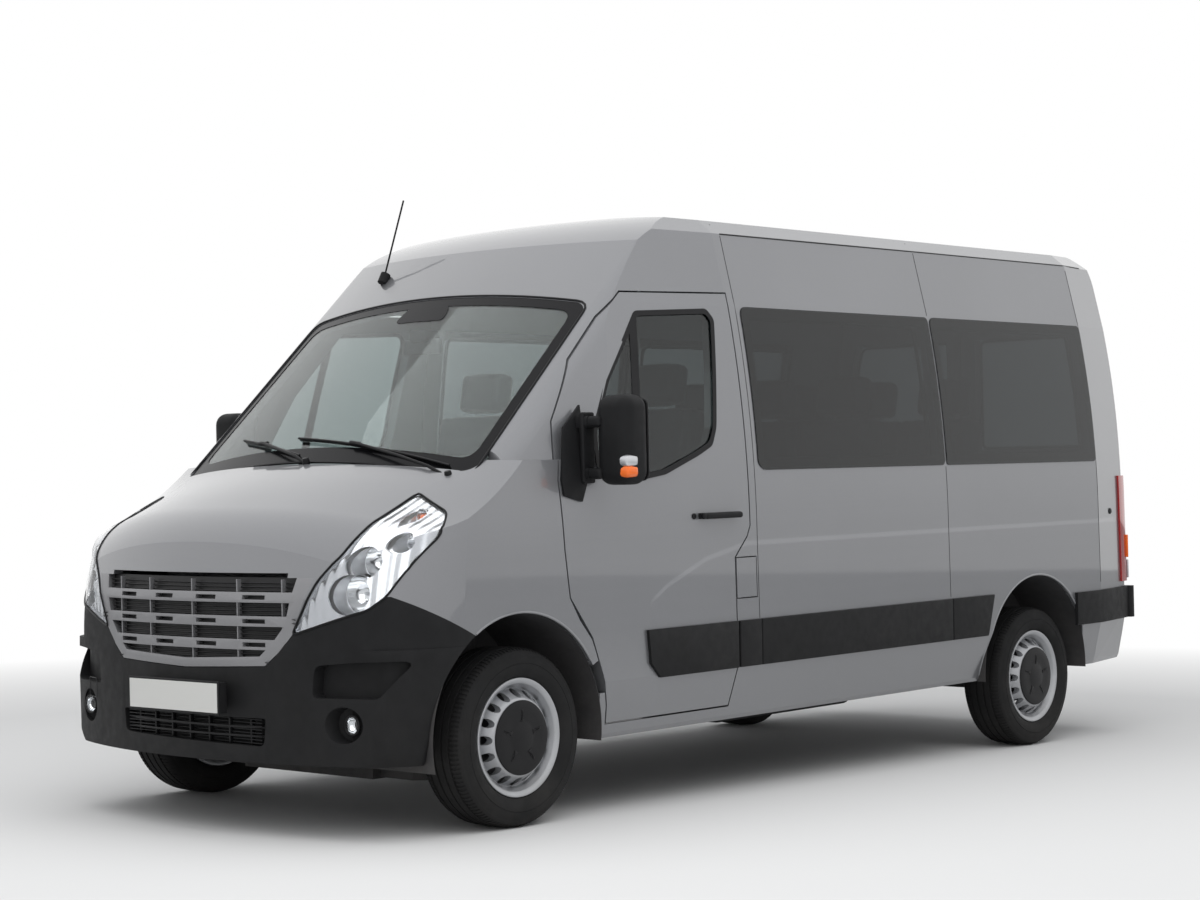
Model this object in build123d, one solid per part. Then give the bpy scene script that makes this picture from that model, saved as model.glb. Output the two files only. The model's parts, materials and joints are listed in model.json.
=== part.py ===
from build123d import *
from math import atan2, cos, degrees, hypot, radians, sin, sqrt
import os

# Passenger minibus, all sizes in millimetres.
# Body axes: X to the vehicle's left, Y to the rear from the front axle, Z up.
# The body is built level, then tipped nose down about the front axle (the unladen rake) and
# moved so that the origin is the middle of the footprint on the ground.

# ---- driving dimensions ----
wheelbase = 3682
front_track = 1750
rear_track = 1730
tyre_radius = 339          # loaded radius, which is also the height of the wheel centres
tyre_width = 225
rim_radius = 220           # outside of the rim flange
rake = 1.08                # degrees
nose_y = -848              # foremost point of the front bumper
body_end_y = 4640          # rear face of the rear doors
bumper_end_y = 4690        # rearmost point of the rear bumper
half_width = 1021          # body side below the waist
wall = 60                  # whole thickness of a door or side wall
roof_wall = 45
floor_top = 470
floor_thick = 60
sill_bottom = 287
gap = 7                    # shut line between a moving panel and its frame
hinge_depth = 35           # room behind a cab door's front edge, which swings inwards
door_bottom = 349
waist_z = 1325             # lower edge of the side windows
window_top = 2005
drip_z = 2325              # seam between side and roof
cab_rear_y = 1372          # rear edge of the front doors
side_joint_y = 2873        # joint between the front and rear side panels
rear_joint_y = 4254        # joint between side panel and rear corner
front_arch = (-28, 350, 460)    # y, z, radius
rear_arch = (3645, 300, 470)
steer_lock = 35

# ---- small helpers ----
def side_prism(points, x0, x1):
    """Solid from an outline of (y, z) points, reaching from x0 to x1 across the vehicle."""
    face = make_face(Polyline(*[(x0, y, z) for y, z in points], close=True).edges())
    return extrude(face, amount=abs(x1 - x0), dir=(1 if x1 > x0 else -1, 0, 0))


def front_prism(points, y0, y1):
    """Solid from an outline of (x, z) points, reaching from y0 to y1 along the vehicle."""
    face = make_face(Polyline(*[(x, y0, z) for x, z in points], close=True).edges())
    return extrude(face, amount=abs(y1 - y0), dir=(0, 1 if y1 > y0 else -1, 0))


def plan_prism(points, z0, z1):
    """Solid from an outline of (x, y) points, reaching from z0 to z1."""
    face = make_face(Polyline(*[(x, y, z0) for x, y in points], close=True).edges())
    return extrude(face, amount=z1 - z0, dir=(0, 0, 1))


def block(x0, x1, y0, y1, z0, z1):
    centre = ((x0 + x1) / 2, (y0 + y1) / 2, (z0 + z1) / 2)
    return Pos(*centre) * Box(abs(x1 - x0), abs(y1 - y0), abs(z1 - z0))


def cross_cylinder(y, z, radius, x0, x1):
    """Cylinder lying across the vehicle."""
    middle = Pos((x0 + x1) / 2, y, z) * Rot(0, 90, 0)
    return middle * Cylinder(radius, abs(x1 - x0))


def mirrored(shape):
    return mirror(shape, about=Plane.YZ)


# ---- outer form ----
# Half section of the body side: column 1 half width, column 2 height.
sill_x, tuck_x = 960, 970
roof_crown = 2421
crown_radius = 8750
# Stations of the side: y, narrowing of the greenhouse at z = 2050, narrowing of the whole side.
stations = (
    (-950, 150, 0),
    (1369, 0, 0),
    (4254, 0, 0),
    (body_end_y, 0, 75),
)


def side_face(y, greenhouse_in, side_in, inset):
    lean = greenhouse_in / 750
    w = -side_in - inset
    def lx(x, z):
        return x + w - max(0, z - 1300) * lean
    low, top = sill_bottom + inset, 2600
    pts = [(lx(sill_x, 0), low), (lx(tuck_x, 0), 305 + inset), (lx(1020, 0), 513)]
    right = [Line((pts[0][0], y, pts[0][1]), (pts[1][0], y, pts[1][1])),
             Line((pts[1][0], y, pts[1][1]), (pts[2][0], y, pts[2][1])),
             Line((pts[2][0], y, pts[2][1]), (lx(1021, 0), y, 700)),
             Line((lx(1021, 0), y, 700), (lx(1017, 0), y, 1036)),
             ThreePointArc((lx(1017, 0), y, 1036), (lx(1003, 1420), y, 1420), (lx(925, 2010), y, 2010)),
             Line((lx(925, 2010), y, 2010), (lx(850, drip_z), y, drip_z)),
             Line((lx(850, drip_z), y, drip_z), (lx(700, 2450), y, 2450)),
             Line((lx(700, 2450), y, 2450), (lx(700, 2450), y, top))]
    left = [mirror(e, about=Plane.YZ) for e in right]
    close = [Line((-pts[0][0], y, low), (pts[0][0], y, low)),
             Line((lx(700, 2450), y, top), (-lx(700, 2450), y, top))]
    edges = [e for item in right + left + close for e in item.edges()]
    return Face(Wire(edges))


def side_solid(inset):
    return loft([side_face(y, g, s, inset) for y, g, s in stations], ruled=True)


# Nose in plan: a wide front arc, tangent corner arcs, straight sides.
front_radius = 2600
corner_radius = 450
rear_corner = 140
# Height, foremost y. The lower bands are the bumper, the upper ones the painted nose.
bumper_bands = ((200, -765), (330, -842), (560, nose_y), (706, -842))
nose_bands = ((706, -814), (985, -782), (1180, -722), (1500, -560), (2600, 0))


def plan_face(z, y0, inset=0):
    w, rc, rf = half_width - inset, corner_radius - inset, front_radius - inset
    y0 = y0 + inset
    cx = w - rc
    cy = y0 + rf - sqrt((rf - rc) ** 2 - cx ** 2)
    turn = atan2(cx, y0 + rf - cy)
    tx, ty = rf * sin(turn), y0 + rf - rf * cos(turn)
    mid = (turn + radians(90)) / 2
    mx, my = cx + rc * sin(mid), cy - rc * cos(mid)
    end = body_end_y - inset
    rr = rear_corner
    k = rr * (1 - cos(radians(45)))
    edges = [ThreePointArc((-tx, ty, z), (0, y0, z), (tx, ty, z)),
             ThreePointArc((tx, ty, z), (mx, my, z), (w, cy, z)),
             Line((w, cy, z), (w, end - rr, z)),
             ThreePointArc((w, end - rr, z), (w - k, end - k, z), (w - rr, end, z)),
             Line((w - rr, end, z), (-w + rr, end, z)),
             ThreePointArc((-w + rr, end, z), (-w + k, end - k, z), (-w, end - rr, z)),
             Line((-w, end - rr, z), (-w, cy, z)),
             ThreePointArc((-w, cy, z), (-mx, my, z), (-tx, ty, z))]
    return Face(Wire([e for item in edges for e in item.edges()]))


def band_solid(bands, inset=0, smooth=False):
    return loft([plan_face(z, y, inset) for z, y in bands], ruled=not smooth)


# Bonnet and nose top: x, then (y, z) of front foot, front round, shoulder, middle, rear.
bonnet_sections = (
    (0, (-800, 960), (-742, 1112), (-600, 1228), (-400, 1315), (-170, 1394)),
    (520, (-748, 950), (-686, 1098), (-545, 1208), (-345, 1294), (-115, 1390)),
    (850, (-650, 940), (-580, 1075), (-440, 1165), (-224, 1268), (-30, 1384)),
    (1060, (-545, 930), (-475, 1050), (-340, 1130), (-120, 1238), (60, 1376)),
)


def bonnet_face(x, foot, front, shoulder, middle, rear, drop):
    def p(yz, dz=drop):
        return (x, yz[0], yz[1] - dz)
    far = (600, rear[1])
    edges = [Line((x, foot[0], 150), p(foot)), ThreePointArc(p(foot), p(front), p(shoulder)),
             ThreePointArc(p(shoulder), p(middle), p(rear)), Line(p(rear), p(far)),
             Line(p(far), (x, far[0], 150)), Line((x, far[0], 150), (x, foot[0], 150))]
    return Face(Wire([e for item in edges for e in item.edges()]))


def bonnet_solid(drop):
    rows = [(-s[0],) + s[1:] for s in reversed(bonnet_sections[1:])] + list(bonnet_sections)
    return loft([bonnet_face(*row, drop) for row in rows])


# Windscreen: a shallow cylinder along the slope, rounded into the pillars at each side.
screen_foot = (-175, 1388)
screen_head = (560, 2068)
screen_radius = 3800
pillar_round = 110
screen_run = hypot(screen_head[0] - screen_foot[0], screen_head[1] - screen_foot[1])
along = ((screen_head[0] - screen_foot[0]) / screen_run, (screen_head[1] - screen_foot[1]) / screen_run)
screen_plane = Plane(origin=(0, *screen_foot), x_dir=(1, 0, 0), z_dir=(0, *along))


def screen_face(distance, flat_x, inset):
    """Section across the screen at a distance up its slope; local +y points into the cabin."""
    r, c = screen_radius - inset, pillar_round - inset
    a = atan2(flat_x, sqrt(r * r - flat_x * flat_x))
    cx, cy = (r - c) * sin(a), (r - c) * cos(a) - screen_radius
    turn_end = radians(72)
    m = (a + turn_end) / 2
    foot_x = cx + c * sin(turn_end)
    foot_y = cy + c * cos(turn_end)
    deep = 4200
    bx = foot_x + deep / 3
    pts = {"a": (r * sin(a), r * cos(a) - screen_radius), "m": (cx + c * sin(m), cy + c * cos(m)),
           "e": (foot_x, foot_y), "b": (bx, foot_y - deep)}
    def q(key, sign):
        return (sign * pts[key][0], -pts[key][1])
    with BuildSketch(screen_plane.offset(distance)) as sk:
        with BuildLine():
            ThreePointArc(q("a", -1), (0, screen_radius - r), q("a", 1))
            ThreePointArc(q("a", 1), q("m", 1), q("e", 1))
            Line(q("e", 1), q("b", 1))
            Line(q("b", 1), q("b", -1))
            Line(q("b", -1), q("e", -1))
            ThreePointArc(q("e", -1), q("m", -1), q("a", -1))
        make_face()
    return sk.sketch.face()


def screen_solid(inset):
    low, high = -900, 4400
    slope = (818 - 852) / screen_run
    return loft([screen_face(d, 862 + slope * d, inset) for d in (low, high)], ruled=True)


# Roof: crowned lengthways block, with a brow that is round in plan.
brow_axis_y = 3300
brow_points = ((585, 2112), (830, 2304), (1400, 2414))


def roof_solid(inset):
    top = roof_crown - inset
    with BuildSketch(Plane.YZ) as crown:
        with BuildLine():
            start = (0, 200)
            Line(start, (0, top))
            Line((0, top), (4470, top))
            ThreePointArc((4470, top), (4586, top - 40), (body_end_y, top - 150))
            Line((body_end_y, top - 150), (body_end_y, 200))
            Line((body_end_y, 200), start)
        make_face()
    axis = Axis((0, 0, roof_crown - crown_radius), (0, 1, 0))
    half = 9
    crowned = revolve(crown.sketch.face().rotate(axis, -half), axis, 2 * half)
    p0, p1, p2 = [(y, z - inset) for y, z in brow_points]
    with BuildSketch(Plane.YZ) as brow:
        with BuildLine():
            Line((brow_axis_y, 200), (-900, 200))
            Line((-900, 200), (-900, p0[1]))
            Line((-900, p0[1]), p0)
            ThreePointArc(p0, p1, p2)
            Line(p2, (2200, 2600 - inset))
            Line((2200, 2600 - inset), (brow_axis_y, 2600 - inset))
            Line((brow_axis_y, 2600 - inset), (brow_axis_y, 200))
        make_face()
    brow_turn = Axis((0, brow_axis_y, 0), (0, 0, 1))
    front = revolve(brow.sketch.face().rotate(brow_turn, -40), brow_turn, 80)
    behind = block(-1200, 1200, 2000, 5000, 200, 2600)
    return crowned & (front + behind)



def body_solid(inset):
    """Outer form of the body, or its inner form when inset is the wall thickness."""
    top = roof_solid(inset * 0.75) & screen_solid(inset)
    if inset < wall:
        top = top + bonnet_solid(inset)
    plan = band_solid(nose_bands, inset, smooth=True) + band_solid(bumper_bands, inset)
    return side_solid(inset) & plan & top



parts = {}
outer = body_solid(0)
firewall_y = 62
sill_in = 880
cabin = body_solid(wall) & block(-1200, 1200, firewall_y, 5000, floor_top, 2600)
under = block(-sill_in, sill_in, firewall_y, 5000, 0, floor_top - floor_thick)
shell = outer - cabin - under
skin_inside = side_solid(wall)

# ---- wheel arches ----
front_arch_in, rear_arch_in, arch_skin = 560, 690, 12


def arch_cut(arch, inner_x, widen=0):
    y, z, r = arch
    drop = block(inner_x, 1200, y - r - widen, y + r + widen, 0, z)
    return cross_cylinder(y, z, r + widen, inner_x, 1200) + drop


front_well, rear_well = arch_cut(front_arch, front_arch_in), arch_cut(rear_arch, rear_arch_in)
for well in (front_well, rear_well):
    shell = shell - well - mirrored(well)


def well_box(arch, inner_x, front_y):
    """Wheel housing standing up through the floor, clear of the side wall."""
    box = arch_cut(arch, inner_x - arch_skin, arch_skin) - arch_cut(arch, inner_x)
    return box & block(0, 938, max(front_y, arch[0] - 700), arch[0] + 700, floor_top - floor_thick, 1000)


# ---- openings with their moving panels ----
side_in, side_out = 700, 1100


def grown(points, distance, x0, x1):
    """Side prism whose outline is moved outwards by a distance."""
    face = make_face(Polyline(*[(x0, y, z) for y, z in points], close=True).edges())
    return extrude(offset(face, distance, kind=Kind.INTERSECTION), amount=x1 - x0, dir=(1, 0, 0))


door_outline = ((255, 1525), (214, 1301), (230, 1034), (252, 850), (372, 690), (428, 545), (470, 420),
                (480, door_bottom), (1244, door_bottom), (1266, 500), (1266, 962), (1350, 1046),
                (cab_rear_y, 1090), (cab_rear_y, 2063), (738, 2048), (596, 1942), (414, 1768))
door_window = ((440, 1345), (440, 1480), (560, 1690), (800, 1968), (1228, 1990), (1262, 1950),
               (1185, 1500), (1150, 1430), (1060, 1392), (840, 1318), (700, 1300), (480, 1300))
window_cut = side_prism(door_window, side_in, side_out)
glazed = (screen_solid(4) & side_solid(4)) - side_solid(9)
parts["door_left"] = ((outer - skin_inside) & side_prism(door_outline, side_in, side_out)) - window_cut
parts["door_glass_left"] = glazed & window_cut
door_prism = grown(door_outline, gap, side_in, side_out)
door_hole = door_prism - side_solid(wall + gap)
hinge_room = (door_prism & block(side_in, side_out, 100, 330, 600, 1600)) - side_solid(wall + hinge_depth)
shell = shell - door_hole - mirrored(door_hole) - hinge_room - mirrored(hinge_room)

rear_door_bottom = 690
rear_door = ((gap / 2, rear_door_bottom), (878, rear_door_bottom), (866, 1330), (800, 1980), (762, 2290),
             (gap / 2, 2290))
rear_window = ((90, 1390), (760, 1390), (720, 1900), (690, 1990), (90, 1990))
rear_y = (4500, 4700)
rear_hole = [(0, rear_door_bottom - gap), (878 + gap, rear_door_bottom - gap), (866 + gap, 1330),
             (800 + gap, 1980), (762 + gap, 2290 + gap), (0, 2290 + gap)]
rear_cut = front_prism(rear_window, *rear_y)
rear_zone = front_prism(rear_door, body_end_y - wall, body_end_y + 20)
parts["rear_door_left"] = (outer & rear_zone) - rear_cut
parts["rear_glass_left"] = block(0, 1200, body_end_y - 9, body_end_y - 4, 200, 2500) & rear_cut
rear_hole = front_prism(rear_hole, *rear_y)
shell = shell - rear_hole - mirrored(rear_hole)

# ---- fixed windows ----
side_windows = block(0, 1, 0, 1, 0, 1)
for pane_front, pane_rear in ((1476, 2850), (2900, 4220)):
    side_windows = side_windows + block(side_in, side_out, pane_front, pane_rear, waist_z + 4, window_top)
shell = shell - side_windows - mirrored(side_windows)
side_glass = (side_solid(4) - side_solid(9)) & side_windows

screen_outline = ((-846, 12), (846, 12), (812, 1000), (-812, 1000))
screen_normal = Plane(origin=(0, *screen_foot), x_dir=(1, 0, 0), z_dir=(0, -along[1], along[0]))
with BuildSketch(screen_normal) as sketch:
    with BuildLine():
        FilletPolyline(*screen_outline, radius=60, close=True)
    make_face()
screen_window = extrude(sketch.sketch.face(), amount=500, both=True)
parts["windscreen"] = (screen_solid(3) - screen_solid(9)) & screen_window
shell = shell - screen_window

# ---- nose ----
nose = outer & block(-1200, 1200, -950, firewall_y, 200, 1500)
bonnet_skin = 38
bonnet_line = ((-640, 985), (-722, 1051), (-745, 1130), (-745, 1272), (-800, 1345), (-800, 1500))
bonnet_zone = front_prism(bonnet_line + tuple((-x, z) for x, z in reversed(bonnet_line)), -900, 0)
bonnet_rear_centre, bonnet_rear_side = -205, -112
rear_r = (800 ** 2 + (bonnet_rear_side - bonnet_rear_centre) ** 2) / 2 / (bonnet_rear_side - bonnet_rear_centre)
bonnet_back = Pos(0, bonnet_rear_centre + rear_r, 1000) * Cylinder(rear_r, 1200)
bonnet_back_hole = Pos(0, bonnet_rear_centre + rear_r + gap, 1000) * Cylinder(rear_r, 1200)
under_bonnet = Pos(0, bonnet_skin, -bonnet_skin) * nose
parts["bonnet"] = ((nose - under_bonnet) & bonnet_zone) - bonnet_back
bay = under_bonnet & (block(-535, 535, -760, 0, 200, 1500) + block(-700, 700, -760, 0, 850, 1500))

lamp_line = ((548, 760), (650, 955), (729, 1048), (752, 1128), (752, 1268), (925, 1196), (984, 1136),
             (980, 1104), (890, 898), (841, 850))
lamp_zone = front_prism(lamp_line, -900, -200)
lamp_depth = 150
lamp_solid = (nose - Pos(0, lamp_depth, -40) * nose) & lamp_zone
lens_skin = 5
parts["headlamp_lenses"] = lamp_solid - Pos(0, lens_skin, -lens_skin) * nose

bumper_front = ((-1100, 200), (1100, 200), (1100, 898), (890, 898), (841, 850), (548, 760), (487, 695),
                (421, 642), (0, 627))
bumper_front = bumper_front + tuple((-x, z) for x, z in reversed(bumper_front[3:-1])) + ((-1100, 898),)
bumper_side = ((-900, 200), (-900, 1061), (-582, 900), (-262, 737), (-262, 200))
bumper_zone = front_prism(bumper_front, -900, 0) & side_prism(bumper_side, -1100, 1100)
bumper_skin = 60
plate_face_y = -858
bumper = (nose & bumper_zone) - Pos(0, bumper_skin, 0) * nose - front_well - mirrored(front_well)
parts["front_bumper"] = bumper + block(-265, 265, plate_face_y, -820, 470, 583)

grille_line = ((-633, 968), (-548, 762), (-487, 697), (-421, 645), (0, 630))
grille_line = grille_line + tuple((-x, z) for x, z in reversed(grille_line[:-1]))
grille_zone = front_prism(grille_line, -900, 0)
grille_skin = 30
grille_frame = 34
grille_field = [(x * (1 - grille_frame / 600), z + grille_frame if z < 900 else 1100) for x, z in grille_line]
face_block = (nose - Pos(0, grille_skin, 0) * nose) & grille_zone
field = front_prism(grille_field, -900, 0)
bars = block(0, 1, 0, 1, 0, 1)
for bar_z in (722, 808, 896):
    bar = block(-650, 650, -900, 0, bar_z - 19, bar_z + 19)
    for x in (-371, -124, 124, 371):
        bar = bar - block(x - 55, x + 55, -900, 0, bar_z - 8, bar_z + 8)
    bars = bars + bar
parts["grille"] = face_block - (field - bars)
mesh_block = Pos(0, grille_skin, 0) * nose - Pos(0, grille_skin + 22, 0) * nose
parts["grille_mesh"] = mesh_block & grille_zone

# ---- panels cut from the shell ----
cab_panel_y = 1422         # joint between cab and side panels
header_z = 2056
cowl_drop = 36
lamps_out = lamp_zone + mirrored(lamp_zone)
shell = shell - bonnet_zone - lamps_out - bumper_zone - grille_zone - bay
wing_line = ((-900, 250), (-900, 1300), (-240, 1300), (-60, 1372), (198, 1566), (209, 1301), (223, 1034),
             (245, 850), (300, 760), (365, 683), (402, 600), (150, 480), (150, 250))
wing_zone = side_prism(wing_line, 520, 1100)
floor_zone = block(-sill_in, sill_in, firewall_y, 4700, 200, floor_top) + block(-700, 700, -120, firewall_y, 200, 1290)
sill_zone = block(-1100, 1100, -120, cab_panel_y, 200, floor_top)
step_zone = block(-1100, -sill_in, cab_panel_y, side_joint_y, 200, door_bottom)
roof_front_zone = block(-1100, 1100, -900, cab_panel_y, header_z, 2600)
roof_rear_zone = block(-1100, 1100, cab_panel_y, 4700, drip_z, 2600)
roof_rear_zone = roof_rear_zone + block(-770, 770, 4520, 4700, 2200, drip_z)
side_front_zone = block(0, 1100, cab_panel_y, side_joint_y, 200, drip_z)
side_rear_zone = block(0, 1100, side_joint_y, 4700, 200, drip_z)

rest = shell - wing_zone - mirrored(wing_zone)
floor_pan = rest & (floor_zone + sill_zone + step_zone)
floor_box = well_box(front_arch, front_arch_in, firewall_y) + well_box(rear_arch, rear_arch_in, 0)
left_wing = (shell & wing_zone) - floor_box - block(500, 565, -900, 0, 150, 330)
parts["front_wings"] = left_wing + mirrored(left_wing)
eye_x, eye_y, eye_z, eye_hole = 300, 4640, 352, 20
eye_plate = block(eye_x - 45, eye_x + 45, eye_y - 120, eye_y + 42, eye_z - 12, eye_z + 12)
tow_eye = eye_plate + block(eye_x - 45, eye_x + 45, eye_y - 120, eye_y - 60, eye_z, floor_top - floor_thick)
tow_eye = tow_eye - Pos(eye_x, eye_y, eye_z) * Cylinder(eye_hole, 40)
parts["sills"] = floor_pan - floor_zone - floor_box - mirrored(floor_box)
parts["floor_pan"] = (floor_pan & floor_zone) + floor_box + mirrored(floor_box) + tow_eye
rest = rest - floor_zone - sill_zone - step_zone - floor_box - mirrored(floor_box)
parts["roof_front"] = rest & roof_front_zone
parts["roof_rear"] = rest & roof_rear_zone
cab_frame = rest & block(-1100, 1100, -400, cab_panel_y, floor_top, header_z)
cab_frame = Compound([solid for solid in cab_frame.solids() if solid.volume > 1e6])
rest = rest - roof_rear_zone
flap_y, flap_z = (1277, 1408), (792, 956)
parts["fuel_flap"] = (outer - side_solid(12)) & block(900, side_out, *flap_y, *flap_z)
flap_hole = block(900, side_out, flap_y[0] - 12, flap_y[1] + 5, flap_z[0] - 5, flap_z[1] + 5) - side_solid(45)
parts["cab_frame"] = cab_frame - flap_hole
parts["side_front_left"] = rest & side_front_zone
parts["side_rear_left"] = rest & side_rear_zone
parts["sliding_door"] = rest & mirrored(side_front_zone)
parts["side_rear_right"] = rest & mirrored(side_rear_zone)
parts["fixed_glass"] = parts.pop("windscreen") + side_glass + mirrored(side_glass)
cowl = (Pos(0, 0, -cowl_drop) * nose - Pos(0, 0, -cowl_drop - 30) * nose) & bonnet_zone & bonnet_back_hole
parts["cowl"] = cowl & block(-797, 797, -260, 0, 1200, 1500)


# ---- black trim on the sides ----
trim_proud = 14
trim_skin = side_solid(-trim_proud) - side_solid(0)
trim_z = (504, 697)


def trim_piece(y0, y1, front_cut=0, rear_cut=0):
    z0, z1 = trim_z
    line = ((y0, z1), (y0 + front_cut * 0.2, z0 + 60), (y0 + front_cut, z0), (y1 - rear_cut, z0), (y1, z1))
    return trim_skin & side_prism(line, 900, side_out)


body_trim = trim_piece(1275, cab_panel_y - 2) + trim_piece(cab_panel_y + 2, side_joint_y - 2)
body_trim = body_trim + trim_piece(side_joint_y + 2, 3236, 0, 60)
door_trim = trim_piece(690, 1262, 70)
parts["side_trims"] = body_trim + mirrored(body_trim)


def soft_box(x0, x1, y0, y1, z0, z1, radius):
    box = block(x0, x1, y0, y1, z0, z1)
    return fillet(box.edges(), radius)


# Mirror: a tall housing on two arms, the sail base in the window corner, and the handle.
mirror_head = soft_box(1062, 1235, 345, 500, 1275, 1625, 55)
mirror_arms = soft_box(1010, 1100, 335, 420, 1500, 1545, 15) + soft_box(1010, 1100, 335, 420, 1300, 1345, 15)
sail_line = ((262, 1500), (222, 1300), (230, 1240), (330, 1215), (372, 1300), (372, 1590))
sail = (side_solid(-10) - side_solid(0)) & side_prism(sail_line, 900, side_out)
sail = sail + block(985, 1025, 335, 372, 1300, 1345) + block(960, 1025, 335, 372, 1500, 1545) - side_solid(0)
handle = soft_box(1030, 1052, 1050, 1290, 1125, 1150, 10) + block(1012, 1035, 1065, 1085, 1130, 1145)
handle = handle + block(1012, 1035, 1255, 1275, 1130, 1145) - side_solid(0)
parts["door_fittings_left"] = mirror_head + mirror_arms + sail + door_trim + handle

# ---- rear end ----
rear_bumper_skin = 130
bumper_core = block(-975, 975, body_end_y, bumper_end_y, 500, 663)
corner_piece = (side_solid(-16) - side_solid(0)) & block(900, 1100, 3998, body_end_y, 500, 663)
rear_bumper = fillet(bumper_core.edges().filter_by(Axis.Z), 20)
parts["rear_bumper"] = (rear_bumper + corner_piece + mirrored(corner_piece)) - outer
lamp_tower = (side_solid(-10) & block(890, 1100, 4560, body_end_y + 12, 690, 1240)) - outer
parts["tail_lamps"] = lamp_tower + mirrored(lamp_tower)

# ---- wheels ----
def wheel_profile(points):
    """Solid of revolution about the wheel axis from an outline of (width, radius) points."""
    with BuildSketch(Plane.XZ) as sk:
        with BuildLine():
            Polyline(*points, close=True)
        make_face()
    return revolve(sk.sketch.face(), Axis.X, 360)


hw = tyre_width / 2
rt, rb = tyre_radius, 204
tyre_lines = ((-79, rb), (-86.5, 226), (-hw, 262), (-106, 312), (-74, rt), (74, rt), (106, 312), (hw, 262),
              (86.5, 226), (79, rb))
# Steel rim, outer face towards +X: flanges, barrel, dished disc with holes, hub and the cap in its middle.
rim_lines = (
    (-88, 198), (-96, 222), (-88, 224), (-80, 203.5), (80, 203.5), (88, 224), (96, 222), (88, 197),
    (56, 190), (54, 184), (78, 165), (99, 150), (104, 141), (104, 31), (8, 31), (8, 52), (86, 52),
    (86, 134), (66, 152), (40, 176), (36, 184),
)
hole_count, hole_circle, hole_radius = 16, 165, 17
cap_radius, cap_x, cap_deep = 139, 110, 12


def rim_solid():
    rim = wheel_profile(rim_lines)
    hole = Pos(50, 0, 0) * Rot(0, 90, 0) * Cylinder(hole_radius, 110)
    for k in range(hole_count):
        rim = rim - Rot(360 / hole_count * k, 0, 0) * Pos(0, 0, hole_circle) * hole
    cap = Pos(cap_x, 0, 0) * Rot(0, 90, 0) * Cylinder(cap_radius, cap_deep)
    return rim + chamfer(cap.edges().sort_by(Axis.X)[-1], 8)


stub_radius = 30
left_rim, left_tyre = rim_solid(), wheel_profile(tyre_lines)
wheel_places = (("front", 0, front_track / 2), ("rear", wheelbase, rear_track / 2))
ground_parts = {}
for end, y, x in wheel_places:
    rim = Pos(x, y, tyre_radius) * left_rim
    tyre = Pos(x, y, tyre_radius) * left_tyre
    ground_parts[f"rim_{end}_left"], ground_parts[f"rim_{end}_right"] = rim, mirrored(rim)
    ground_parts[f"tyre_{end}_left"], ground_parts[f"tyre_{end}_right"] = tyre, mirrored(tyre)

# ---- axles, in ground axes ----
hub_x, kingpin_x = front_track / 2, 770
stub = Pos(hub_x - 15, 0, tyre_radius) * Rot(0, 90, 0) * Cylinder(stub_radius, 80)
disc = Pos(hub_x - 40, 0, tyre_radius) * Rot(0, 90, 0) * Cylinder(150, 24)
upright = block(hub_x - 108, hub_x - 52, -45, 45, tyre_radius - 130, tyre_radius + 120)
steer_arm = block(hub_x - 108, hub_x - 80, 45, 150, tyre_radius - 60, tyre_radius - 30)
knuckle = stub + disc + upright + steer_arm
ground_parts["knuckle_left"], ground_parts["knuckle_right"] = knuckle, mirrored(knuckle)
strut_x = 660
strut = Pos(strut_x, 0, 0) * (Pos(0, 0, 547) * Cylinder(28, 496) + Pos(0, 0, 690) * Cylinder(58, 150))
arm_z = tyre_radius - 175
# The arm narrows towards the wheel, so that the tyre clears it at full lock.
arm_line = ((330, -160), (560, -160), (hub_x - 137, -22), (hub_x - 137, 22), (560, 160), (330, 160))
lower_arm = plan_prism(arm_line, arm_z, arm_z + 30) - block(400, 585, -95, 95, arm_z - 5, arm_z + 40)
arm_post = block(strut_x - 35, strut_x + 35, -35, 35, arm_z + 30, 310)
half_frame = lower_arm + arm_post + strut
cradle = block(-380, 380, -200, 200, arm_z - 5, arm_z + 75)
ground_parts["front_axle"] = cradle + half_frame + mirrored(half_frame)
beam = Pos(0, wheelbase, tyre_radius - 30) * Rot(0, 90, 0) * Cylinder(45, 1440)
rear_hub = Pos(rear_track / 2 - 25, wheelbase, tyre_radius) * Rot(0, 90, 0) * Cylinder(stub_radius, 80)
rear_drum = Pos(rear_track / 2 - 55, wheelbase, tyre_radius) * Rot(0, 90, 0) * Cylinder(130, 70)
spring = block(560, 630, wheelbase - 560, wheelbase + 520, tyre_radius + 25, tyre_radius + 45)
half_rear = rear_hub + rear_drum + spring + block(565, 625, wheelbase - 50, wheelbase + 50, 290, tyre_radius + 45)
ground_parts["rear_axle"] = beam + half_rear + mirrored(half_rear)

# ---- inside ----
dash_line = ((firewall_y, 840), (firewall_y, 1355), (250, 1372), (420, 1330), (455, 1250), (430, 1050), (330, 900),
             (300, 840))
console_line = ((firewall_y, 560), (firewall_y, 840), (400, 980), (330, 560))
dash = side_prism(dash_line, -905, 905) & cabin & side_solid(wall + hinge_depth)
dash = dash + side_prism(console_line, -180, 180)
column_x, column_yz, column_tilt = 440, (640, 1330), -38
wheel_ring = Torus(190, 17) + Cylinder(62, 34) + Box(360, 44, 16) + Pos(0, -95, 0) * Box(44, 170, 16)
steering_place = Pos(column_x, *column_yz) * Rot(column_tilt, 0, 0)
parts["steering_wheel"] = steering_place * wheel_ring
parts["dashboard"] = dash + steering_place * Pos(0, 0, -150) * Cylinder(38, 250)


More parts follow.
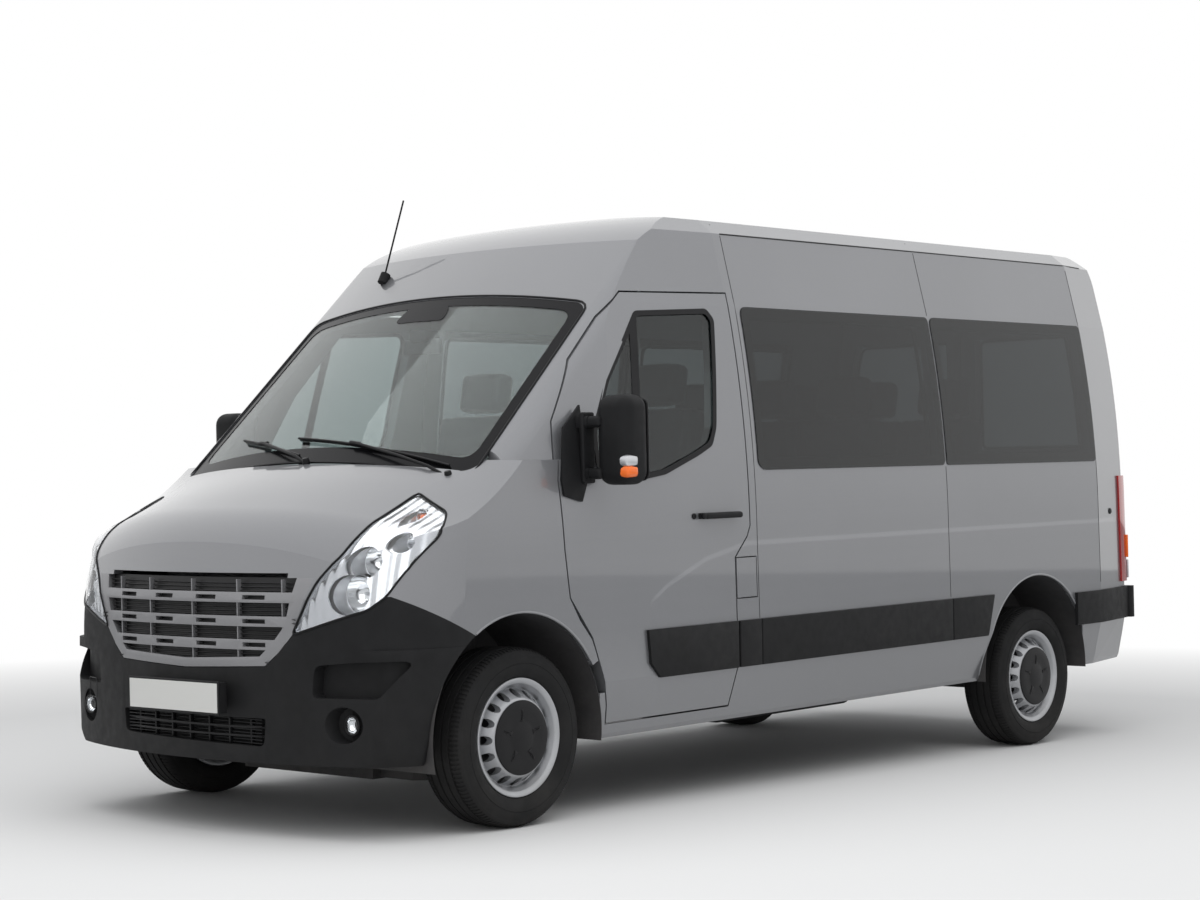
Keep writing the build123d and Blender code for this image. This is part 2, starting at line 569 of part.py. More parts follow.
def seat(x, width, y, lift, seats=1):
    """Seat or bench: cushion, back, head restraints and base, front edge at y."""
    floor_z = floor_top + lift
    cushion = soft_box(x - width / 2, x + width / 2, y, y + 500, floor_z + 300, floor_z + 440, 40)
    back_box = soft_box(-width / 2, width / 2, 0, 130, 0, 640, 40)
    back = Pos(x, y + 470, floor_z + 400) * Rot(-12, 0, 0) * back_box
    item = cushion + back + block(x - width / 2 + 40, x + width / 2 - 40, y + 60, y + 440, floor_top, floor_z + 320)
    pitch = width / seats
    for k in range(seats):
        cx = x + (k - (seats - 1) / 2) * pitch
        head = Pos(cx, y + 470, floor_z + 400) * Rot(-12, 0, 0) * soft_box(-135, 135, 10, 110, 670, 850, 35)
        post = Pos(cx, y + 470, floor_z + 400) * Rot(-12, 0, 0) * block(-70, 70, 55, 67, 600, 700)
        item = item + head + post
    return item


parts["front_seats"] = seat(column_x, 520, 800, 100) + seat(-380, 940, 800, 100, 2)
parts["rear_seats"] = seat(240, 1290, 1860, 50, 3) + seat(240, 1290, 2700, 50, 3)

# ---- under the body ----
parts["engine_block"] = soft_box(-420, 360, -560, -130, 420, 1080, 25)
parts["grille_mesh"] = parts["grille_mesh"] + block(-480, 480, -690, -655, 380, 860)
parts["fuel_tank"] = soft_box(260, 720, 1500, 2500, 230, 405, 40)
pipe_path = FilletPolyline((-450, 700, 330), (-450, 2900, 330), (-620, 3150, 380), (-620, 3900, 380), radius=120)
pipe = sweep(Plane(pipe_path @ 0, z_dir=pipe_path % 0) * Circle(30), pipe_path)
parts["exhaust"] = pipe + Pos(-450, 2000, 330) * Rot(90, 0, 0) * Cylinder(75, 600)

# ---- small fixed pieces ----
def wiper(x0, d0, x1, d1):
    """Blade lying on the screen, from and to points given by x and distance up the slope."""
    a, b = (x0, d0), (x1, d1)
    mid = ((x0 + x1) / 2, (d0 + d1) / 2)
    length = hypot(x1 - x0, d1 - d0)
    blade = Rot(0, 0, degrees(atan2(d1 - d0, x1 - x0))) * Box(length, 14, 22)
    lift = sqrt(screen_radius ** 2 - mid[0] ** 2) - screen_radius + 30
    return screen_normal.location * Pos(mid[0], mid[1], lift) * blade


parts["wipers"] = wiper(-150, 140, 740, 34) + wiper(-560, 182, -60, 36)
antenna_base = (-480, 722, 2195)
base = Pos(*antenna_base) * Rot(-30, 0, 0) * Cylinder(22, 46)
whip = Pos(*antenna_base) * Rot(-20, 0, 0) * Pos(0, 0, 190) * Cylinder(4, 370)
parts["antenna"] = (base + whip) - outer

# ---- mirrored doors, rake, and the row's own origin ----
parts["headlamps"] = lamp_solid & Pos(0, 40, -14) * nose
for name in ("headlamp_lenses", "headlamps"):
    parts[name] = parts[name] + mirrored(parts[name])
for name in ("door_left", "door_glass_left", "door_fittings_left", "rear_door_left", "rear_glass_left"):
    parts[name.replace("left", "right")] = mirrored(parts[name])
rake_axis = Axis((0, 0, 338), (1, 0, 0))
ready = {name: shape.rotate(rake_axis, rake) for name, shape in parts.items()}
ready.update(ground_parts)
origin_y = (ready["front_bumper"].bounding_box().min.Y + ready["rear_bumper"].bounding_box().max.Y) / 2
os.makedirs("parts", exist_ok=True)
for name, shape in ready.items():
    export_step(Pos(0, -origin_y, 0) * shape, f"parts/{name}.step")
print("origin is", round(origin_y, 3), "mm behind the front axle")
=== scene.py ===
import json
from math import atan2, cos, hypot, pi, radians, sin

import bpy
from mathutils import Matrix, Vector
from mathutils.bvhtree import BVHTree

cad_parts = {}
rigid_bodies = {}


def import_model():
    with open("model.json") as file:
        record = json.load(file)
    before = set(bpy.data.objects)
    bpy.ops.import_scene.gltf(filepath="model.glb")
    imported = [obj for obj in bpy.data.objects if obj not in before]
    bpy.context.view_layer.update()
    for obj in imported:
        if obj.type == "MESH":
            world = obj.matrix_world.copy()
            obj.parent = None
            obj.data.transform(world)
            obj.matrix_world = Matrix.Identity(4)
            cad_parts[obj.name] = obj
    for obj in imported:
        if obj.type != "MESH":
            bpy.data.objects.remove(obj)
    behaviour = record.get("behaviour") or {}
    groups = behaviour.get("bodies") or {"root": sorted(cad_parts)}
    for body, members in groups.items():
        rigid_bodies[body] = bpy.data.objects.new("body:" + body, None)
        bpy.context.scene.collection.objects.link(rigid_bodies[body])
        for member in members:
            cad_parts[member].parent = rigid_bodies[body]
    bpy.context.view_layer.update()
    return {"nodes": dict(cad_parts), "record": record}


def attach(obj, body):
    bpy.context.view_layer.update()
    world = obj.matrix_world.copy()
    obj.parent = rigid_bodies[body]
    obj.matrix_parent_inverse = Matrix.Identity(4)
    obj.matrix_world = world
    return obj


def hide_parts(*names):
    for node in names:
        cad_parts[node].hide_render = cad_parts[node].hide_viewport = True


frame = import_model()
cadNodes = frame["nodes"]
print("frame loaded:", len(cadNodes), "nodes")

# the body is drawn level, then tipped nose down about the front axle and moved to the row's origin
stance = {"rake": radians(1.08), "pivotHeight": 0.338, "axleToOrigin": 1.911824}
groundPlace = Matrix.Translation((0, -stance["axleToOrigin"], 0))
bodyPlace = (groundPlace @ Matrix.Translation((0, 0, stance["pivotHeight"]))
             @ Matrix.Rotation(stance["rake"], 4, "X") @ Matrix.Translation((0, 0, -stance["pivotHeight"])))


def deselectAll():
    if bpy.context.object and bpy.context.object.mode != "OBJECT":
        bpy.ops.object.mode_set(mode="OBJECT")
    bpy.ops.object.select_all(action="DESELECT")


def pick(piece):
    deselectAll()
    piece.select_set(True)
    bpy.context.view_layer.objects.active = piece


def editAll(piece):
    pick(piece)
    bpy.ops.object.mode_set(mode="EDIT")
    bpy.ops.mesh.select_all(action="SELECT")


def leaveEdit():
    bpy.ops.object.mode_set(mode="OBJECT")


def mm(*values):
    return Vector([v / 1000 for v in values])


def addModifier(piece, kind, **settings):
    pick(piece)
    modifier = piece.modifiers.new(kind.title(), kind)
    for key, value in settings.items():
        setattr(modifier, key, value)
    bpy.ops.object.modifier_apply(modifier=modifier.name)


def softenEdges(piece, width, segments=3, angle=30):
    addModifier(piece, "BEVEL", width=width / 1000, segments=segments, limit_method="ANGLE",
                angle_limit=radians(angle))


def flatten(piece, angle):
    editAll(piece)
    bpy.ops.mesh.dissolve_limited(angle_limit=radians(angle))
    leaveEdit()


def cutWith(piece, cutter, operation="DIFFERENCE"):
    addModifier(piece, "BOOLEAN", operation=operation, object=cutter, solver="EXACT")


def smoothShade(piece, angle=35):
    pick(piece)
    bpy.ops.object.shade_smooth_by_angle(angle=radians(angle))


def addBox(name, low, high):
    deselectAll()
    low, high = mm(*low), mm(*high)
    bpy.ops.mesh.primitive_cube_add(size=1, location=(low + high) / 2)
    piece = bpy.context.object
    piece.name = name
    piece.scale = high - low
    bpy.ops.object.transform_apply(location=True, rotation=True, scale=True)
    return piece


def softBox(name, low, high, radius, segments=3):
    piece = addBox(name, low, high)
    addModifier(piece, "BEVEL", width=radius / 1000, segments=segments, limit_method="NONE")
    return piece


def addRod(name, start, end, radius, sides=24, endRadius=None):
    deselectAll()
    start, end = mm(*start), mm(*end)
    run = end - start
    farRadius = radius if endRadius is None else endRadius
    bpy.ops.mesh.primitive_cone_add(vertices=sides, radius1=radius / 1000, radius2=farRadius / 1000,
                                    depth=run.length)
    piece = bpy.context.object
    piece.name = name
    turn = run.to_track_quat("Z", "Y").to_matrix().to_4x4()
    piece.data.transform(Matrix.Translation((start + end) / 2) @ turn)
    return piece


def tracedLine(name, points, closed=False):
    deselectAll()
    points = [mm(*p) for p in points]
    bpy.ops.mesh.primitive_plane_add(size=0.01, location=points[0])
    piece = bpy.context.object
    piece.name = name
    bpy.ops.object.transform_apply(location=True, rotation=True, scale=True)
    bpy.ops.object.mode_set(mode="EDIT")
    bpy.ops.mesh.select_mode(type="VERT")
    bpy.ops.mesh.select_all(action="SELECT")
    bpy.ops.mesh.merge(type="CENTER")
    for a, b in zip(points, points[1:]):
        bpy.ops.mesh.extrude_region_move(TRANSFORM_OT_translate={"value": b - a})
    if closed:
        bpy.ops.mesh.select_all(action="DESELECT")
        leaveEdit()
        piece.data.vertices[0].select = True
        piece.data.vertices[len(piece.data.vertices) - 1].select = True
        bpy.ops.object.mode_set(mode="EDIT")
        bpy.ops.mesh.edge_face_add()
    leaveEdit()
    return piece


def plate(name, outline, depth):
    piece = tracedLine(name, outline, closed=True)
    editAll(piece)
    bpy.ops.mesh.edge_face_add()
    bpy.ops.mesh.select_all(action="SELECT")
    bpy.ops.mesh.extrude_region_move(TRANSFORM_OT_translate={"value": mm(*depth)})
    bpy.ops.mesh.select_all(action="SELECT")
    bpy.ops.mesh.normals_make_consistent(inside=False)
    leaveEdit()
    return piece


def finishPiece(piece, body, material, place=bodyPlace, smooth=None):
    if smooth:
        smoothShade(piece, smooth)
    pick(piece)
    bpy.ops.object.transform_apply(location=True, rotation=True, scale=True)
    piece.data.transform(place)
    piece.data.materials.clear()
    piece.data.materials.append(material)
    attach(piece, body)
    return piece


def ownCopy(piece, name):
    copy = piece.copy()
    copy.data = piece.data.copy()
    copy.name = name
    bpy.context.scene.collection.objects.link(copy)
    return copy


def mirrorCopy(piece, name):
    copy = ownCopy(piece, name)
    copy.data.transform(Matrix.Scale(-1, 4, (1, 0, 0)))
    editAll(copy)
    bpy.ops.mesh.flip_normals()
    leaveEdit()
    return copy


def joinPieces(pieces, name):
    deselectAll()
    for piece in pieces:
        piece.select_set(True)
    bpy.context.view_layer.objects.active = pieces[0]
    if len(pieces) > 1:
        bpy.ops.object.join()
    pieces[0].name = name
    return pieces[0]


def cadCopy(nodeName, name):
    deselectAll()
    copy = ownCopy(cadNodes[nodeName], name)
    copy.parent = None
    for key in list(copy.keys()):
        del copy[key]
    copy.data.materials.clear()
    editAll(copy)
    bpy.ops.mesh.remove_doubles(threshold=0.00002)
    bpy.ops.mesh.customdata_custom_splitnormals_clear()
    leaveEdit()
    return copy


# a node of the frame, rounded and finished again, takes the plain one's place
def dressCopy(nodeName, name, body, finish, soften=None, smooth=None):
    piece = cadCopy(nodeName, name)
    if soften:
        flatten(piece, 1.0)
        softenEdges(piece, *soften)
    finishPiece(piece, body, finish, Matrix.Identity(4), smooth)
    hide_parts(nodeName)


# shader nodes are added and linked by these short helpers
def makeGroup(name, inputs, outputs):
    group = bpy.data.node_groups.new(name, "ShaderNodeTree")
    for label, kind, value in inputs:
        socket = group.interface.new_socket(name=label, in_out="INPUT", socket_type=kind)
        if value is not None:
            socket.default_value = value
    for label, kind in outputs:
        group.interface.new_socket(name=label, in_out="OUTPUT", socket_type=kind)
    return group, group.nodes.new("NodeGroupInput"), group.nodes.new("NodeGroupOutput")


def addNode(tree, kind, links=(), **settings):
    node = tree.nodes.new(kind)
    for key, value in settings.items():
        if key.startswith("in_"):
            node.inputs[key[3:].replace("_", " ")].default_value = value
        else:
            setattr(node, key, value)
    for source, target in links:
        tree.links.new(source, node.inputs[target])
    return node


def plug(tree, socket, value):
    if isinstance(value, (int, float, tuple)):
        socket.default_value = value
    else:
        tree.links.new(value, socket)


def mathNode(tree, operation, *values, clamp=False):
    node = addNode(tree, "ShaderNodeMath", operation=operation, use_clamp=clamp)
    for socket, value in zip(node.inputs, values):
        plug(tree, socket, value)
    return node.outputs[0]


def mixColour(tree, factor, a, b):
    node = addNode(tree, "ShaderNodeMix", data_type="RGBA")
    for index, value in ((0, factor), (6, a), (7, b)):
        plug(tree, node.inputs[index], value)
    return node.outputs[2]


def scaledColour(tree, colour, factor):
    node = addNode(tree, "ShaderNodeVectorMath", operation="SCALE")
    plug(tree, node.inputs[0], colour)
    plug(tree, node.inputs["Scale"], factor)
    return node.outputs[0]


def splitPlace(tree, vector):
    return addNode(tree, "ShaderNodeSeparateXYZ", [(vector, "Vector")]).outputs


def noise(tree, vector, scale, detail=3, roughness=0.5):
    node = addNode(tree, "ShaderNodeTexNoise", [(vector, "Vector")], in_Scale=scale, in_Detail=detail,
                   in_Roughness=roughness)
    return node.outputs["Fac"]


def spread(tree, value, low, high, outLow=0.0, outHigh=1.0, curve="LINEAR"):
    node = addNode(tree, "ShaderNodeMapRange", [(value, "Value")], interpolation_type=curve,
                   in_From_Min=low, in_From_Max=high, in_To_Min=outLow, in_To_Max=outHigh)
    return node.outputs["Result"]


def bumpFrom(tree, height, strength, distance):
    node = addNode(tree, "ShaderNodeBump", [(height, "Height")])
    plug(tree, node.inputs["Strength"], strength)
    plug(tree, node.inputs["Distance"], distance)
    return node.outputs["Normal"]


colourSocket, floatSocket, vectorSocket = "NodeSocketColor", "NodeSocketFloat", "NodeSocketVector"
surfaceOutputs = [("Colour", colourSocket), ("Roughness", floatSocket), ("Normal", vectorSocket)]

# road film: a mask that is strongest near the ground and broken up by noise
roadFilm, filmIn, filmOut = makeGroup("roadFilm", [("Vector", vectorSocket, None), ("Top", floatSocket, 0.9),
                                                   ("Amount", floatSocket, 0.3)], [("Mask", floatSocket)])
filmPlace = filmIn.outputs["Vector"]
filmRise = mathNode(roadFilm, "DIVIDE", splitPlace(roadFilm, filmPlace)["Z"], filmIn.outputs["Top"],
                    clamp=True)
filmFade = mathNode(roadFilm, "SUBTRACT", 1.0, filmRise)
filmPatch = spread(roadFilm, noise(roadFilm, filmPlace, 7.0, 6, 0.6), 0.3, 0.75, 0.25, 1.0)
filmShare = mathNode(roadFilm, "MULTIPLY", filmFade, filmPatch)
roadFilm.links.new(mathNode(roadFilm, "MULTIPLY", filmShare, filmIn.outputs["Amount"]),
                   filmOut.inputs["Mask"])


def filmOver(tree, groupIn, colour, filmColour):
    film = addNode(tree, "ShaderNodeGroup", node_tree=roadFilm)
    tree.links.new(groupIn.outputs["Vector"], film.inputs["Vector"])
    tree.links.new(groupIn.outputs["Film"], film.inputs["Amount"])
    return film.outputs["Mask"], mixColour(tree, film.outputs["Mask"], colour, filmColour)


# lacquer over fine metal flakes
lacquer, lacquerIn, lacquerOut = makeGroup("lacquer", [
    ("Vector", vectorSocket, None), ("Colour", colourSocket, (0.4, 0.4, 0.42, 1)),
    ("Film Colour", colourSocket, (0.2, 0.19, 0.17, 1)), ("Film", floatSocket, 0.25),
    ("Roughness", floatSocket, 0.3), ("Flake Scale", floatSocket, 1400.0)], surfaceOutputs)
paintPlace = lacquerIn.outputs["Vector"]
flake = addNode(lacquer, "ShaderNodeTexVoronoi", [(paintPlace, "Vector"),
                                                  (lacquerIn.outputs["Flake Scale"], "Scale")])
flakeSplit = addNode(lacquer, "ShaderNodeSeparateColor", [(flake.outputs["Color"], "Color")])
flakeTone = spread(lacquer, flakeSplit.outputs[0], 0.0, 1.0, 0.93, 1.07)
broadTone = spread(lacquer, noise(lacquer, paintPlace, 1.3, 2), 0.3, 0.7, 0.975, 1.025)
paintTone = mathNode(lacquer, "MULTIPLY", flakeTone, broadTone)
toned = scaledColour(lacquer, lacquerIn.outputs["Colour"], paintTone)
filmMask, filmed = filmOver(lacquer, lacquerIn, toned, lacquerIn.outputs["Film Colour"])
lacquer.links.new(filmed, lacquerOut.inputs["Colour"])
dulled = mathNode(lacquer, "MULTIPLY", filmMask, 0.5)
lacquer.links.new(mathNode(lacquer, "ADD", lacquerIn.outputs["Roughness"], dulled, clamp=True),
                  lacquerOut.inputs["Roughness"])
lacquer.links.new(bumpFrom(lacquer, noise(lacquer, paintPlace, 220.0, 2), 0.05, 0.0004),
                  lacquerOut.inputs["Normal"])

# moulded grain for plastics and rubber
grain, grainIn, grainOut = makeGroup("grain", [
    ("Vector", vectorSocket, None), ("Colour", colourSocket, (0.03, 0.03, 0.03, 1)),
    ("Scale", floatSocket, 600.0), ("Depth", floatSocket, 0.0003), ("Roughness", floatSocket, 0.5),
    ("Film", floatSocket, 0.3)], surfaceOutputs)
grainPlace = grainIn.outputs["Vector"]
grainCell = addNode(grain, "ShaderNodeTexVoronoi", [(grainPlace, "Vector"),
                                                    (grainIn.outputs["Scale"], "Scale")])
grainTone = spread(grain, noise(grain, grainPlace, 9.0, 5, 0.6), 0.3, 0.7, 0.85, 1.15)
grainToned = scaledColour(grain, grainIn.outputs["Colour"], grainTone)
grain.links.new(filmOver(grain, grainIn, grainToned, (0.13, 0.12, 0.11, 1))[1], grainOut.inputs["Colour"])
uneven = spread(grain, noise(grain, grainPlace, 25.0, 4), 0.3, 0.7, -0.06, 0.06)
grain.links.new(mathNode(grain, "ADD", grainIn.outputs["Roughness"], uneven), grainOut.inputs["Roughness"])
grain.links.new(bumpFrom(grain, grainCell.outputs["Distance"], 0.6, grainIn.outputs["Depth"]),
                grainOut.inputs["Normal"])


def newMaterial(name, roughness=0.5, metallic=0.0, colour=(0.5, 0.5, 0.5, 1), **sockets):
    material = bpy.data.materials.new(name)
    material.use_nodes = True
    tree = material.node_tree
    shader = tree.nodes["Principled BSDF"]
    shader.inputs["Base Color"].default_value = colour
    shader.inputs["Metallic"].default_value = metallic
    shader.inputs["Roughness"].default_value = roughness
    for label, value in sockets.items():
        shader.inputs[label.replace("_", " ")].default_value = value
    place = tree.nodes.new("ShaderNodeTexCoord").outputs["Object"]
    return material, tree, shader, place


def groupMaterial(name, group, values, metallic=0.0, **sockets):
    material, tree, shader, place = newMaterial(name, 0.5, metallic, **sockets)
    node = addNode(tree, "ShaderNodeGroup", [(place, "Vector")], node_tree=group)
    for label, value in values.items():
        node.inputs[label].default_value = value
    tree.links.new(node.outputs["Colour"], shader.inputs["Base Color"])
    tree.links.new(node.outputs["Roughness"], shader.inputs["Roughness"])
    tree.links.new(node.outputs["Normal"], shader.inputs["Normal"])
    return material


def rgb(r, g, b):
    return (r, g, b, 1)


finishes = {
    "bodyPaint": rgb(0.21, 0.214, 0.226), "paintRoughness": 0.34, "paintMetal": 0.55,
    "grilleSilver": rgb(0.25, 0.25, 0.26), "wheelSilver": rgb(0.42, 0.43, 0.45),
    "blackPlastic": rgb(0.010, 0.0102, 0.011), "blackTrim": rgb(0.008, 0.008, 0.009),
    "tyre": rgb(0.012, 0.0123, 0.013), "dash": rgb(0.075, 0.09, 0.088), "dashDark": rgb(0.02, 0.023, 0.024),
    "cloth": rgb(0.035, 0.04, 0.048), "fleck": rgb(0.10, 0.14, 0.20), "undercoat": rgb(0.022, 0.022, 0.024),
    "castMetal": rgb(0.11, 0.11, 0.115), "exhaustSteel": rgb(0.22, 0.2, 0.18),
    "glassTint": rgb(0.26, 0.32, 0.31), "screenTint": rgb(0.66, 0.74, 0.73),
    "sideTint": rgb(0.11, 0.125, 0.13), "doorTint": rgb(0.25, 0.29, 0.29),
}
paint = groupMaterial("paint", lacquer, {"Colour": finishes["bodyPaint"], "Film": 0.12,
                                         "Roughness": finishes["paintRoughness"]},
                      finishes["paintMetal"], Coat_Weight=1.0, Coat_Roughness=0.03)
crease = {"line": ((0.68, 0.70), (0.707, 0.744), (0.723, 0.807), (0.831, 0.868), (1.077, 0.962),
                   (1.352, 1.016), (4.6, 1.016)),
          "width": 0.014, "depth": 0.0075, "spanY": 5.0, "spanZ": 2.0,
          "fadeIn": (0.70, 0.80), "skinFrom": (0.90, 0.96)}


# pressed line: the skin stands a little further out below it than above
def addCrease(material):
    tree = material.node_tree
    shader = tree.nodes["Principled BSDF"]
    place = tree.nodes.new("ShaderNodeTexCoord").outputs["Object"]
    level = addNode(tree, "ShaderNodeMapping", [(place, "Vector")], vector_type="TEXTURE")
    level.inputs["Location"].default_value = (0, -stance["axleToOrigin"], stance["pivotHeight"])
    level.inputs["Rotation"].default_value = (stance["rake"], 0, 0)
    split = splitPlace(tree, level.outputs[0])
    curve = addNode(tree, "ShaderNodeFloatCurve")
    tree.links.new(mathNode(tree, "DIVIDE", split["Y"], crease["spanY"]), curve.inputs["Value"])
    points = curve.mapping.curves[0].points
    line = [(y / crease["spanY"], z / crease["spanZ"]) for y, z in crease["line"]]
    points[0].location, points[1].location = (0.0, line[0][1]), (1.0, line[-1][1])
    for y, z in line:
        points.new(y, z)
    for point in points:
        point.handle_type = "VECTOR"
    curve.mapping.update()
    lineHeight = mathNode(tree, "MULTIPLY", curve.outputs["Value"], crease["spanZ"])
    above = mathNode(tree, "SUBTRACT", mathNode(tree, "ADD", split["Z"], stance["pivotHeight"]), lineHeight)
    rise = spread(tree, above, -crease["width"], crease["width"], 1.0, 0.0, "SMOOTHERSTEP")
    front = spread(tree, split["Y"], *crease["fadeIn"], curve="SMOOTHERSTEP")
    outside = spread(tree, mathNode(tree, "ABSOLUTE", split["X"]), *crease["skinFrom"])
    height = mathNode(tree, "MULTIPLY", mathNode(tree, "MULTIPLY", rise, front), outside)
    bump = addNode(tree, "ShaderNodeBump", [(height, "Height")], in_Strength=1.0, in_Distance=crease["depth"])
    tree.links.new(shader.inputs["Normal"].links[0].from_socket, bump.inputs["Normal"])
    tree.links.new(bump.outputs["Normal"], shader.inputs["Normal"])


addCrease(paint)
grilleSilver = groupMaterial("grilleSilver", lacquer, {"Colour": finishes["grilleSilver"], "Roughness": 0.42,
                                                       "Film": 0.1}, 0.6, Coat_Weight=0.3, Coat_Roughness=0.2)
wheelSilver = groupMaterial("wheelSilver", lacquer, {"Colour": finishes["wheelSilver"], "Roughness": 0.36,
                                                     "Film": 0.35}, 0.8, Coat_Weight=0.4, Coat_Roughness=0.15)


def grained(name, colour, scale, depth, roughness, film, metallic=0.0, **sockets):
    values = {"Colour": colour, "Scale": scale, "Depth": depth, "Roughness": roughness, "Film": film}
    return groupMaterial(name, grain, values, metallic, **sockets)


blackPlastic = grained("blackPlastic", finishes["blackPlastic"], 700.0, 0.0004, 0.55, 0.07,
                       Specular_IOR_Level=0.16)
blackTrim = grained("blackTrim", finishes["blackTrim"], 900.0, 0.0001, 0.36, 0.03, Specular_IOR_Level=0.2)
tyreRubber = grained("tyreRubber", finishes["tyre"], 1200.0, 0.0002, 0.7, 0.14, Specular_IOR_Level=0.12)
dashPlastic = grained("dashPlastic", finishes["dash"], 500.0, 0.0003, 0.6, 0.0)
dashDark = grained("dashDark", finishes["dashDark"], 500.0, 0.0003, 0.55, 0.0)
undercoat = grained("undercoat", finishes["undercoat"], 150.0, 0.0008, 0.75, 0.5)
castMetal = grained("castMetal", finishes["castMetal"], 300.0, 0.0006, 0.6, 0.4, 0.7)
exhaustSteel = grained("exhaustSteel", finishes["exhaustSteel"], 80.0, 0.0003, 0.45, 0.5, 0.85)


def plainFinish(name, colour, roughness, metallic=0.0, bumpScale=300.0, bumpDepth=0.0001, **sockets):
    material, tree, shader, place = newMaterial(name, roughness, metallic, colour, **sockets)
    tree.links.new(bumpFrom(tree, noise(tree, place, bumpScale, 2), 0.3, bumpDepth), shader.inputs["Normal"])
    return material


chrome = plainFinish("reflectorChrome", rgb(0.66, 0.67, 0.68), 0.12, 1.0, 60.0, 0.0002)
brightHousing = plainFinish("brightHousing", rgb(0.62, 0.63, 0.65), 0.3, 0.9, 40.0, 0.0002)
clearLens = plainFinish("clearLens", rgb(0.97, 0.98, 0.99), 0.02, 0.0, 20.0, 0.00005,
                        Transmission_Weight=1.0, IOR=1.08, Coat_Weight=0.5, Coat_Roughness=0.02)
amberLens = plainFinish("amberLens", rgb(0.85, 0.16, 0.02), 0.12, 0.0, 400.0, 0.0002)
redLens = plainFinish("redLens", rgb(0.36, 0.008, 0.008), 0.08, 0.0, 300.0, 0.0002, Coat_Weight=1.0)
blackGloss = plainFinish("blackGloss", rgb(0.006, 0.006, 0.007), 0.2, 0.0, 100.0, 0.00003,
                         Specular_IOR_Level=0.15)
darkMesh = plainFinish("darkMesh", rgb(0.008, 0.008, 0.009), 0.5)


def glassFinish(name, tint):
    material, tree, shader, place = newMaterial(name, 0.015, 0.0, tint, Transmission_Weight=1.0, IOR=1.45)
    shade = spread(tree, noise(tree, place, 0.8, 1), 0.3, 0.7, 0.97, 1.03)
    tree.links.new(scaledColour(tree, tint[:3], shade), shader.inputs["Base Color"])
    return material


tintedGlass = glassFinish("tintedGlass", finishes["glassTint"])
screenGlass = glassFinish("screenGlass", finishes["screenTint"])
privacyGlass = glassFinish("privacyGlass", finishes["sideTint"])
doorGlass = glassFinish("doorGlass", finishes["doorTint"])
print("materials ready")

# camera, pale floor and soft studio light
studio = {"camera": (7.0898, -8.3315, 1.2329), "azimuth": 41.60, "elevation": -1.18, "roll": -0.56,
          "lens": 70.66, "floorSize": 80.0, "floorColour": rgb(0.62, 0.62, 0.62), "clearFrom": 4.5,
          "clearTo": 9.0, "skyColour": rgb(0.96, 0.98, 1.0), "skyStrength": 0.42,
          "overhead": ((1.5, -1.5, 7.5), (0, 0, 1), 13.0, 980.0),
          "frontFill": ((5.5, -8.0, 3.2), (0.3, -1.5, 1), 4.0, 100.0)}


def buildStudio():
    a, e, r = (radians(studio[k]) for k in ("azimuth", "elevation", "roll"))
    back = Vector((sin(a) * cos(e), -cos(a) * cos(e), sin(e)))
    right = Vector((cos(a), sin(a), 0))
    up = back.cross(right)
    tiltedRight = right * cos(r) + up * sin(r)
    tiltedUp = up * cos(r) - right * sin(r)
    deselectAll()
    bpy.ops.object.camera_add()
    camera = bpy.context.object
    axes = Matrix((tiltedRight, tiltedUp, back)).transposed().to_4x4()
    camera.matrix_world = Matrix.Translation(studio["camera"]) @ axes
    camera.data.lens = studio["lens"]
    camera.data.sensor_width = 36
    camera.data.clip_end = 200
    bpy.context.scene.camera = camera

    deselectAll()
    bpy.ops.mesh.primitive_plane_add(size=studio["floorSize"], location=(0, 0, 0))
    floor = bpy.context.object
    floor.name = "studioFloor"
    material, tree, shader, place = newMaterial("floorPaper", 0.85, 0.0, studio["floorColour"])
    distance = addNode(tree, "ShaderNodeVectorMath", [(place, 0)], operation="LENGTH").outputs["Value"]
    away = spread(tree, distance, studio["clearFrom"], studio["clearTo"])
    rays = tree.nodes.new("ShaderNodeLightPath").outputs
    seen = mathNode(tree, "MAXIMUM", rays["Is Camera Ray"], rays["Is Transmission Ray"])
    white = addNode(tree, "ShaderNodeEmission")
    mixer = addNode(tree, "ShaderNodeMixShader", [(mathNode(tree, "MULTIPLY", away, seen), 0),
                                                  (shader.outputs[0], 1), (white.outputs[0], 2)])
    tree.links.new(mixer.outputs[0], tree.nodes["Material Output"].inputs["Surface"])
    floor.data.materials.append(material)

    world = bpy.data.worlds.new("softSky")
    bpy.context.scene.world = world
    world.use_nodes = True
    tree = world.node_tree
    sky = tree.nodes["Background"]
    sky.inputs["Color"].default_value = studio["skyColour"]
    sky.inputs["Strength"].default_value = studio["skyStrength"]
    rays = tree.nodes.new("ShaderNodeLightPath").outputs
    mirrored = mathNode(tree, "MAXIMUM", rays["Is Glossy Ray"], rays["Is Transmission Ray"])
    seen = mathNode(tree, "MAXIMUM", rays["Is Camera Ray"], mirrored)
    clear = addNode(tree, "ShaderNodeBackground", in_Color=rgb(1, 1, 1), in_Strength=1.0)
    mixer = addNode(tree, "ShaderNodeMixShader", [(seen, 0), (sky.outputs[0], 1), (clear.outputs[0], 2)])
    tree.links.new(mixer.outputs[0], tree.nodes["World Output"].inputs["Surface"])

    for name in ("overhead", "frontFill"):
        place, aim, size, power = studio[name]
        deselectAll()
        bpy.ops.object.light_add(type="AREA", location=place)
        lamp = bpy.context.object
        lamp.name = name
        lamp.rotation_euler = (Vector(aim) - Vector(place)).to_track_quat("-Z", "Y").to_euler()
        lamp.data.size = size
        lamp.data.energy = power
        lamp.visible_glossy = False  # no lamp shows as a white patch in the roof
    bpy.context.scene.view_settings.view_transform = "Standard"


buildStudio()
print("studio ready")

